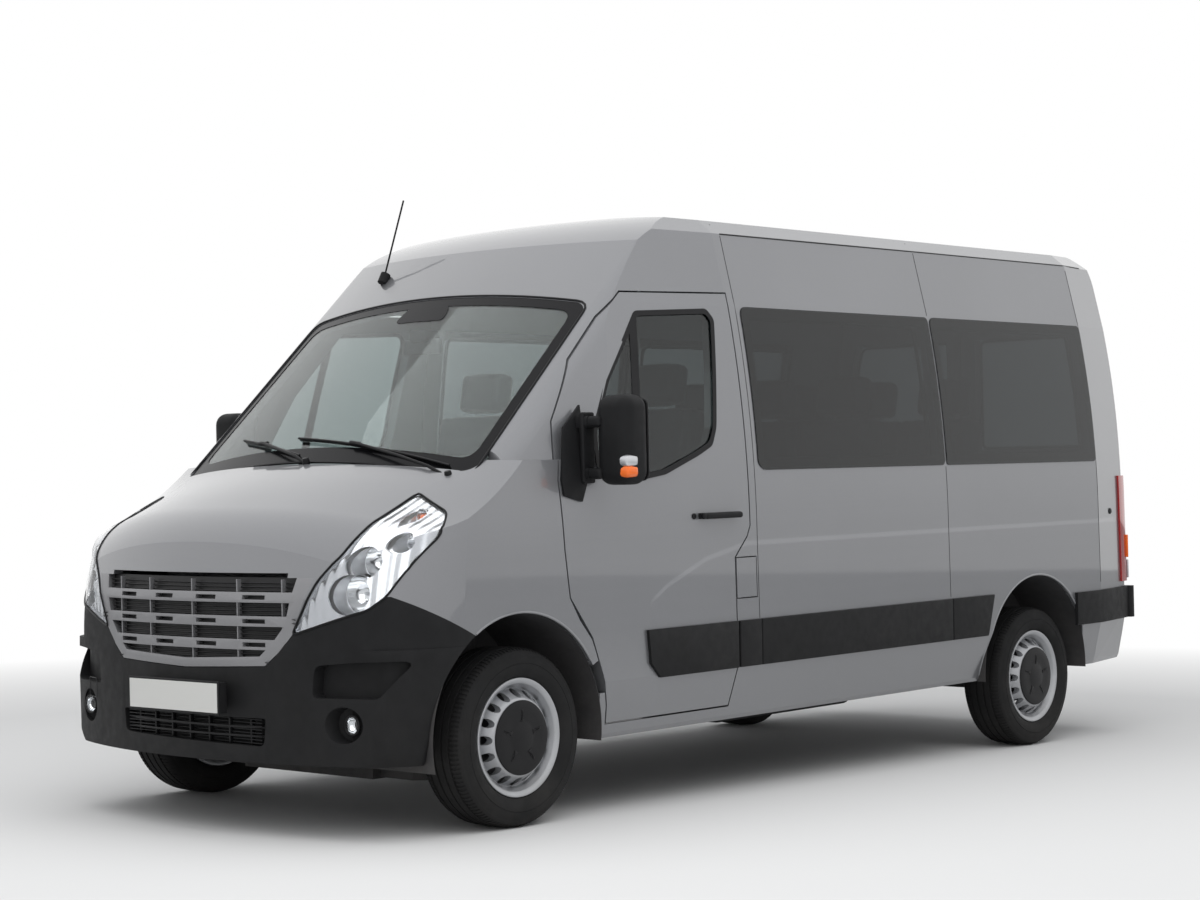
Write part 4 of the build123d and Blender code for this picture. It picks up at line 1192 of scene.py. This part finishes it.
def makeScreen():
    glass = cadCopy("fixed_glass", "screen_glass")
    editAll(glass)
    bpy.ops.mesh.separate(type="LOOSE")
    leaveEdit()
    solids = [piece for piece in bpy.context.scene.objects if piece.name.startswith("screen_glass")]
    pane = max(solids, key=lambda piece: piece.dimensions.x)
    for piece in solids:
        if piece is not pane:
            bpy.data.objects.remove(piece)
    pane.name = "windscreen_glass"
    finishPiece(pane, "root", screenGlass, Matrix.Identity(4), smooth=30)
    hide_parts("fixed_glass")
    outer = roundedRun(list(glazing["screenOuter"]), glazing["outerRound"], 60)
    inner = roundedRun(list(glazing["screenInner"]), glazing["innerRound"], 60)
    border = skinPatch("screen_border", outer, onScreen, -2.6, 1.0, screenPrism, inner)
    finishPiece(border, "root", blackGloss)
    foot = roundedRun(list(glazing["sensor"]), glazing["sensorRound"], 20)
    sensor = skinPatch("screen_sensor", foot, onScreen, -2.4, 0.8, screenPrism, cells=(12, 8))
    finishPiece(sensor, "root", blackGloss)
    finishPiece(softBox("sensor_box", *glazing["sensorBox"], 14), "root", blackTrim)
    edge = roundedRun(list(glazing["screenOuter"]), glazing["outerRound"], 40)
    seal = bead("screen_seal", [onScreen(x, d, 0.5) for x, d in edge], 5.0, closed=True)
    finishPiece(seal, "root", blackTrim)


def makeSidePanes():
    for k, corners in enumerate(glazing["panes"]):
        outline = roundedRun(list(corners), glazing["paneRound"], 60)
        hole = roundedRun(insetCorners(list(corners), glazing["paneBorder"]), glazing["borderRound"], 60)
        glass = skinPatch("pane", outline, onSideArc, glazing["paneLift"], glazing["paneThick"], sidePrism)
        bothSides(glass, f"side_glass_{k}", "root", privacyGlass)
        band = skinPatch("band", outline, onSideArc, -1.2, 1.2, sidePrism, hole)
        bothSides(band, f"side_glass_border_{k}", "root", blackGloss)
        inside = [onSideArc(y, z, -glazing["sealDepth"]) for y, z in hole]
        seal = bead("seal", inside, glazing["sealRadius"], closed=True)
        bothSides(seal, f"side_glass_seal_{k}", "root", blackTrim)


# the cab door leans in towards the windscreen above its waist
def doorSurface(y, z, lift):
    fromY, fromZ, slope = glazing["doorLean"]
    x = onSideArc(y, z, lift)[0]
    return (x - slope * max(0.0, fromY - y) * max(0.0, z - fromZ), y, z)


def makeDoorWindow():
    corners = list(glazing["doorWindow"])
    outer = roundedRun(insetCorners(corners, -7), 18, 30)
    inner = roundedRun(insetCorners(corners, 15), 24, 30)
    frameBand = skinPatch("frame", outer, doorSurface, 0.4, 2.4, sidePrism, inner, cells=(48, 40))
    bothSides(frameBand, "door_window_frame", "door_left", blackTrim, "door_right")
    (footY, headY), (low, high), half = glazing["divider"]
    strip = [(footY - half, low), (footY + half, low), (headY + half, high), (headY - half, high)]
    bar = skinPatch("divider", strip, doorSurface, -2.0, 3.0, sidePrism, cells=(12, 40))
    window = sidePrism(insetCorners(corners, 4))
    cutWith(bar, window, "INTERSECT")
    bpy.data.objects.remove(window)
    bothSides(bar, "door_window_divider", "door_left", blackTrim, "door_right")
    for side in ("left", "right"):
        dressCopy(f"door_glass_{side}", f"door_pane_{side}", f"door_{side}", doorGlass,
                  smooth=30)


def makeWipers():
    clipHalf, clipRadius = wiper["clip"]
    rise = Vector(onScreen(0, 0, wiper["lipHeight"])) - Vector(onScreen(0, 0, 0))
    sets = zip(wiper["blades"], wiper["pivots"], wiper["meets"])
    for k, ((x0, d0, x1, d1), pivot, share) in enumerate(sets):
        points = [(x0 + (x1 - x0) * t / 16, d0 + (d1 - d0) * t / 16) for t in range(17)]
        lip = tracedLine("lip", [onScreen(x, d, -1.5) for x, d in points])
        editAll(lip)
        bpy.ops.mesh.extrude_region_move(TRANSFORM_OT_translate={"value": rise / 1000})
        leaveEdit()
        addModifier(lip, "SOLIDIFY", thickness=0.003, offset=0)
        spine = bead("spine", [onScreen(x, d, wiper["lipHeight"]) for x, d in points], wiper["spineRadius"])
        meet = Vector((x0 + (x1 - x0) * share, d0 + (d1 - d0) * share))
        hub = onScreen(*pivot, 6)
        bends = [onScreen(*Vector(pivot).lerp(meet, part), lift) for part, lift in wiper["armBends"]]
        arm = bead("arm", [hub] + bends, wiper["armRadius"], sides=3)
        ends = [onScreen(meet.x - clipHalf, meet.y + 3, 19), onScreen(meet.x + clipHalf, meet.y - 3, 19)]
        clip = bead("clip", ends, clipRadius, sides=3)
        cap = addRod("cap", hub, tuple(Vector(hub) + Vector((0, -8, 26))), 17, 32, 13)
        softenEdges(cap, 3)
        piece = joinPieces([spine, lip, arm, clip, cap], f"wiper_{k}")
        finishPiece(piece, "root", blackTrim, smooth=40)
        if k == 0:
            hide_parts("wipers")


makeScreen()
makeSidePanes()
makeDoorWindow()
makeWipers()
dressCopy("cowl", "cowl_panel", "root", blackPlastic, smooth=30)
print("glass and wipers made")

# body side: joints, wheel arches, mouldings, lamps and door furniture
side = {
    "joints": ((1422, 700, 2316), (2873, 705, 1312), (4254, 705, 2300), (2873, 2020, 2318)),
    "jointRadius": 1.7, "gutter": ((1424, 2324), (2888, 2326), (4480, 2326)), "gutterRadius": 3.2,
    "roofJoints": (1421, 2888), "roofReach": 800, "roofJointRadius": 2.2,
    "frontArch": (-28, 350, 460, -8, 192, 560), "rearArch": (3645, 300, 470, -2, 182, 690), "archSteps": 48,
    "archLip": 5.5, "linerOut": 1004, "slideRail": (2905, 4190, 1036), "railRadius": 7,
    "slideHandle": (1520, 1080, 190), "railCap": (4425, 1060, 15),
}


def archPoints(arch, lift, outwards):
    y, z, radius, start, end = arch[:5]
    turns = [radians(start + (end - start) * k / side["archSteps"]) for k in range(side["archSteps"] + 1)]
    radius += outwards
    return probed([(y + radius * cos(turn), z + radius * sin(turn)) for turn in turns], onSide, lift)


def makeArchLiner(name, arch):
    y, z, radius, start, end, innerX = arch
    rim = y + radius - 3
    piece = tracedLine(name, [(innerX + 2, rim, z), (side["linerOut"], rim, z)])
    editAll(piece)
    bpy.ops.mesh.spin(steps=side["archSteps"], angle=-radians(end - start), center=mm(0, y, z),
                      axis=(1, 0, 0))
    leaveEdit()
    piece.data.transform(Matrix.Translation(mm(0, y, z)) @ Matrix.Rotation(radians(start), 4, "X")
                         @ Matrix.Translation(-mm(0, y, z)))
    addModifier(piece, "SOLIDIFY", thickness=0.002, offset=0)
    bothSides(piece, name, "root", undercoat, smooth=40)


def seamLine(name, points, radius, finish=darkMesh, both=True):
    line = bead(name, points, radius)
    if both:
        bothSides(line, name, "root", finish)
    else:
        finishPiece(line, "root", finish)


def makeSide():
    for k, (y, low, high) in enumerate(side["joints"]):
        points = probed([(y, low + (high - low) * t / 24) for t in range(25)], onSide, -0.3)
        seamLine(f"side_joint_{k}", points, side["jointRadius"])
    gutter = probed(runAlong(list(side["gutter"]), 120), onSide, 0.5)
    seamLine("roof_gutter", gutter, side["gutterRadius"])
    reach = side["roofReach"]
    for k, y in enumerate(side["roofJoints"]):
        points = probed([(x, y) for x in range(-reach, reach + 1, 50)], onTop, -0.6)
        seamLine(f"roof_joint_{k}", points, side["roofJointRadius"], both=False)
    for key, arch in (("front", side["frontArch"]), ("rear", side["rearArch"])):
        lip = bead("lip", archPoints(arch, -2.5, 2.0), side["archLip"], sides=3)
        bothSides(lip, f"{key}_arch_lip", "root", paint)
        makeArchLiner(f"{key}_arch_liner", arch)
    dressCopy("side_trims", "side_mouldings", "root", blackPlastic, (5, 4, 30), 40)
    y, z, radius = side["railCap"]
    x = onSide(y, z)[0]
    cap = addRod("rail_end_cap", (x - 4, y, z), (x + 6, y, z), radius, 32)
    softenEdges(cap, 3)
    finishPiece(cap, "root", blackTrim, smooth=35)


def makeSlidingDoor():
    y0, y1, z = side["slideRail"]
    rail = [(-onSide(y, z)[0] - 1, y, z) for y in range(y0, y1, 60)]
    seamLine("slide_rail", rail, side["railRadius"], blackTrim, both=False)
    y, z, length = side["slideHandle"]
    x = -onSide(y, z)[0]
    bar = softBox("bar", (x - 34, y, z - 14), (x - 12, y + length, z + 14), 9, 4)
    feet = [softBox("foot", (x - 26, start, z - 12), (x + 6, start + 30, z + 12), 5, 3)
            for start in (y + 6, y + length - 36)]
    piece = joinPieces([bar] + feet, "slide_handle")
    finishPiece(piece, "root", blackTrim, smooth=45)


rear = {
    "y": 4640, "hinges": ((820, 876), (1450, 856), (2100, 786)), "hingeHalf": (34, 42), "hingeRadius": 9,
    "bands": ((706, 800), (812, 930)), "bandReach": (904, 962),
    "handleBed": ((40, -1, 1130), (190, 4, 1230), 4), "handleGrip": ((56, 2, 1164), (176, 26, 1194), 9),
    "window": ((98, 1398), (752, 1398), (716, 1894), (684, 1982), (98, 1982)), "windowRound": 34,
    "sealRadius": 9, "stopLamp": ((-110, 4592, 2296), (110, 4616, 2318)),
}


def makeRear():
    dressCopy("tail_lamps", "tail_lamp_glass", "root", redLens, (6, 4, 35), 45)
    back = rear["y"]
    inner, outer = rear["bandReach"]
    for k, ((low, high), finish) in enumerate(zip(rear["bands"], (brightHousing, amberLens))):
        band = softBox("band", (inner, back + 4, low), (outer, back + 13.5, high), 4, 3)
        bothSides(band, f"tail_lamp_band_{k}", "root", finish, smooth=40)
    leafHalf, pinHalf = rear["hingeHalf"]
    for k, (z, x) in enumerate(rear["hinges"]):
        leaf = softBox("leaf", (x - 46, back - 1, z - leafHalf), (x - 4, back + 9, z + leafHalf), 4, 3)
        pin = addRod("pin", (x + 2, back + 6, z - pinHalf), (x + 2, back + 6, z + pinHalf),
                     rear["hingeRadius"], 24)
        softenEdges(pin, 2)
        piece = joinPieces([leaf, pin], "hinge")
        bothSides(piece, f"rear_hinge_{k}", "rear_door_left", paint, "rear_door_right", smooth=40)
    for kind, key, finish in (("bed", "handleBed", blackTrim), ("grip", "handleGrip", blackPlastic)):
        (x0, y0, z0), (x1, y1, z1), radius = rear[key]
        piece = softBox(f"rear_handle_{kind}", (x0, back + y0, z0), (x1, back + y1, z1), radius, 4)
        finishPiece(piece, "rear_door_left", finish, smooth=40)
    line = roundedRun(list(rear["window"]), rear["windowRound"], 30)
    seal = bead("seal", [(x, back - 3, z) for x, z in line], rear["sealRadius"], closed=True, sides=3)
    bothSides(seal, "rear_window_seal", "rear_door_left", blackTrim, "rear_door_right")
    for hand in ("left", "right"):
        dressCopy(f"rear_glass_{hand}", f"rear_pane_{hand}", f"rear_door_{hand}",
                  privacyGlass)
    stop = softBox("high_stop_lamp", *rear["stopLamp"], 8, 4)
    finishPiece(stop, "root", redLens, smooth=40)
    dressCopy("rear_bumper", "rear_bumper_shell", "root", blackPlastic, (7, 4, 35), 45)


makeSide()
makeSlidingDoor()
makeRear()
print("body side and rear made")

# seats as padded pieces: cushion, back and head restraints with seams, on a plain base
seats = {
    "front": ((440, 520, 800, 100, 1), (-380, 940, 800, 100, 2)),
    "rear": ((240, 1290, 1860, 50, 3), (240, 1290, 2700, 50, 3)), "floor": 470, "cushionDepth": 500,
    "cushionHeight": 140, "backHeight": 640, "backThick": 122, "recline": 12, "headHalf": 132,
    "head": ((12, 668), (108, 846)), "stem": (55, 60, 590, 700, 6), "seamInset": 62, "voxel": 0.012,
    "pullWidth": 26,
}


# the padding swells between stitched lines and is drawn in along them
def swell(piece, low, high, seams, bulge, pinch):
    addModifier(piece, "BEVEL", width=0.026, segments=4, limit_method="ANGLE", angle_limit=radians(40))
    addModifier(piece, "REMESH", mode="VOXEL", voxel_size=seats["voxel"])
    for vertex in piece.data.vertices:
        inside = [(vertex.co[i] * 1000 - low[i]) / (high[i] - low[i]) for i in range(3)]
        rise = 1.0
        for axis, share in seams:
            gap = abs(inside[axis] - share) * (high[axis] - low[axis])
            rise = min(rise, min(1.0, gap / seats["pullWidth"]) ** 0.5)
        edge = min(min(s, 1 - s) for s in inside if 0.0 < s < 1.0)
        vertex.co += vertex.normal * (bulge * rise * min(1.0, 0.4 + edge * 3) - pinch * (1 - rise)) / 1000
    addModifier(piece, "SMOOTH", factor=0.5, iterations=4)
    smoothShade(piece, 80)


padStore = {}


def pad(kind, half):
    if (kind, half) not in padStore:
        inset = seats["seamInset"] / (2 * half)
        (headY0, headZ0), (headY1, headZ1) = seats["head"]
        low, high, seams, bulge = {
            "cushion": ((-half, 0, 0), (half, seats["cushionDepth"], seats["cushionHeight"]),
                        ((0, inset), (0, 1 - inset), (1, 0.36), (1, 0.7)), 5.0),
            "back": ((-half, 0, 0), (half, seats["backThick"], seats["backHeight"]),
                     ((0, inset), (0, 1 - inset), (2, 0.30), (2, 0.62), (2, 0.86)), 5.0),
            "head": ((-half, headY0, headZ0), (half, headY1, headZ1), ((0, 0.16), (0, 0.84)), 4.0),
        }[kind]
        piece = addBox(kind, low, high)
        swell(piece, low, high, seams, bulge, bulge * 1.4)
        padStore[kind, half] = piece
    return ownCopy(padStore[kind, half], kind)


def makeSeat(name, x, width, y, lift, count):
    floor, half, pitch = seats["floor"] + lift, width / 2, width / count
    stemX, stemY, low, high, stemRadius = seats["stem"]
    pieces = []
    for k in range(count):
        centre = x + (k - (count - 1) / 2) * pitch
        padHalf = pitch / 2 - (3 if count > 1 else 0)
        tilt = (Matrix.Translation(mm(centre, y + 470, floor + 400))
                @ Matrix.Rotation(radians(-seats["recline"]), 4, "X"))
        cushion, back, head = pad("cushion", padHalf), pad("back", padHalf), pad("head", seats["headHalf"])
        cushion.data.transform(Matrix.Translation(mm(centre, y, floor + 300)))
        back.data.transform(tilt)
        head.data.transform(tilt)
        pieces += [cushion, back, head]
        for letter, offset in (("a", -stemX), ("b", stemX)):
            stem = addRod(f"{name}_stem_{k}_{letter}", (offset, stemY, low), (offset, stemY, high),
                          stemRadius, 16)
            stem.data.transform(tilt)
            finishPiece(stem, "root", chrome, smooth=35)
    soft = joinPieces(pieces, f"{name}_padding")
    shell = [softBox("base", (x - half + 40, y + 60, seats["floor"] + 4),
                     (x + half - 40, y + 440, floor + 304), 14)]
    if count == 1 or name.startswith("rear"):
        for edge in (x - half + 10, x + half - 10):
            shell.append(softBox("side", (edge - 12, y + 120, floor + 210), (edge + 12, y + 540, floor + 330),
                                 10))
    base = joinPieces(shell, f"{name}_base")
    finishPiece(base, "root", blackPlastic, smooth=40)
    finishPiece(soft, "root", seatCloth)
    return soft


def makeSeatCloth():
    material, tree, shader, place = newMaterial("seatCloth", 0.85, 0.0, finishes["cloth"],
                                                Specular_IOR_Level=0.2, Sheen_Weight=0.25)
    weave = addNode(tree, "ShaderNodeTexChecker", [(place, "Vector")], in_Scale=420.0)
    speck = addNode(tree, "ShaderNodeTexVoronoi", [(place, "Vector")], in_Scale=170.0)
    tone = spread(tree, noise(tree, place, 30.0, 4), 0.3, 0.7, 0.8, 1.2)
    fleck = mathNode(tree, "MULTIPLY", spread(tree, speck.outputs["Distance"], 0.02, 0.12, 1.0, 0.0), 0.15)
    colour = mixColour(tree, fleck, scaledColour(tree, finishes["cloth"][:3], tone), finishes["fleck"])
    tree.links.new(colour, shader.inputs["Base Color"])
    tree.links.new(bumpFrom(tree, weave.outputs["Fac"], 0.2, 0.0002), shader.inputs["Normal"])
    return material


seatCloth = makeSeatCloth()
for row in ("front", "rear"):
    for k, place in enumerate(seats[row]):
        soft = makeSeat(f"{row}_seat_{k}", *place)
        if k == 0:
            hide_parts(f"{row}_seats")
for piece in padStore.values():
    bpy.data.objects.remove(piece)
print("seats made")

dashboard = {
    "binnacle": (440, 330, 1352), "hood": ((-190, -40, -70), (190, 110, 52), 46),
    "dials": ((-85, 62), (85, 62), (0, 34)), "vents": (-760, -120, 20, 740), "ventHalf": 62, "louvres": 4,
    "louvrePitch": 9, "radio": ((-130, 434, 1090), (30, 458, 1230)),
    "glovebox": ((-780, 432, 1010), (-330, 456, 1200)), "wheelPlace": (440, 640, 1330), "wheelTilt": -38,
    "wheelRadius": 190, "rimRadius": 15, "hub": ((-78, -62, -22), (78, 58, 20)),
    "spokes": ((-188, -60, -14, 26), (60, 188, -14, 26), (-26, 26, -186, -50)), "spokeDepth": (-12, 6),
    "stalks": (((400, 560, 1262), (250, 585, 1290)), ((480, 560, 1262), (630, 585, 1290))),
    "lever": ((60, 470, 1080), (70, 560, 1180)), "knob": ((45, 535, 1160), (97, 590, 1225)),
    "mirror": ((-112, 470, 1830), (112, 492, 1895)),
}


def makeDash():
    dressCopy("dashboard", "dash_body", "root", dashPlastic, (16, 4, 25), 40)
    x, y, z = dashboard["binnacle"]
    low, high, radius = dashboard["hood"]
    hood = softBox("hood", (x + low[0], y + low[1], z + low[2]), (x + high[0], y + high[1], z + high[2]),
                   radius, 6)
    finishPiece(hood, "root", dashDark, smooth=50)
    for k, (offset, radius) in enumerate(dashboard["dials"]):
        dial = addRod(f"dial_{k}", (x + offset, y + 108, z - 8), (x + offset, y + 113, z - 10), radius, 48)
        softenEdges(dial, 1.5)
        finishPiece(dial, "root", blackGloss, smooth=35)
    vents, half = [], dashboard["ventHalf"]
    for x in dashboard["vents"]:
        vents.append(softBox("vent", (x - half, 405, 1268), (x + half, 436, 1318), 8))
        for k in range(dashboard["louvres"]):
            z = 1276 + k * dashboard["louvrePitch"]
            vents.append(softBox("vent", (x - half + 6, 430, z), (x + half - 6, 442, z + 3), 1))
    vents.append(softBox("radio", *dashboard["radio"], 10))
    vents.append(softBox("glovebox", *dashboard["glovebox"], 14))
    piece = joinPieces(vents, "dash_vents")
    finishPiece(piece, "root", dashDark, smooth=40)


def makeSteeringWheel():
    deselectAll()
    bpy.ops.mesh.primitive_torus_add(major_radius=dashboard["wheelRadius"] / 1000, major_segments=72,
                                     minor_radius=dashboard["rimRadius"] / 1000, minor_segments=20)
    parts = [bpy.context.object, softBox("hub", *dashboard["hub"], 22, 5)]
    low, high = dashboard["spokeDepth"]
    for x0, x1, y0, y1 in dashboard["spokes"]:
        parts.append(softBox("spoke", (x0, y0, low), (x1, y1, high), 9, 4))
    piece = joinPieces(parts, "steering_rim")
    smoothShade(piece, 50)
    piece.data.transform(Matrix.Translation(mm(*dashboard["wheelPlace"]))
                         @ Matrix.Rotation(radians(dashboard["wheelTilt"]), 4, "X"))
    finishPiece(piece, "steering_wheel", blackTrim)
    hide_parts("steering_wheel")


# inner mirror, column stalks and gear lever
def makeCabinTrim():
    glass = softBox("inner_mirror", *dashboard["mirror"], 12, 4)
    finishPiece(glass, "root", blackTrim, smooth=45)
    parts = [addRod("stalk", start, end, 8, 16, 6) for start, end in dashboard["stalks"]]
    parts.append(addRod("lever", *dashboard["lever"], 10, 16, 8))
    parts.append(softBox("knob", *dashboard["knob"], 20, 5))
    piece = joinPieces(parts, "cab_levers")
    finishPiece(piece, "root", blackTrim, smooth=45)


makeDash()
makeSteeringWheel()
makeCabinTrim()
print("cabin made")
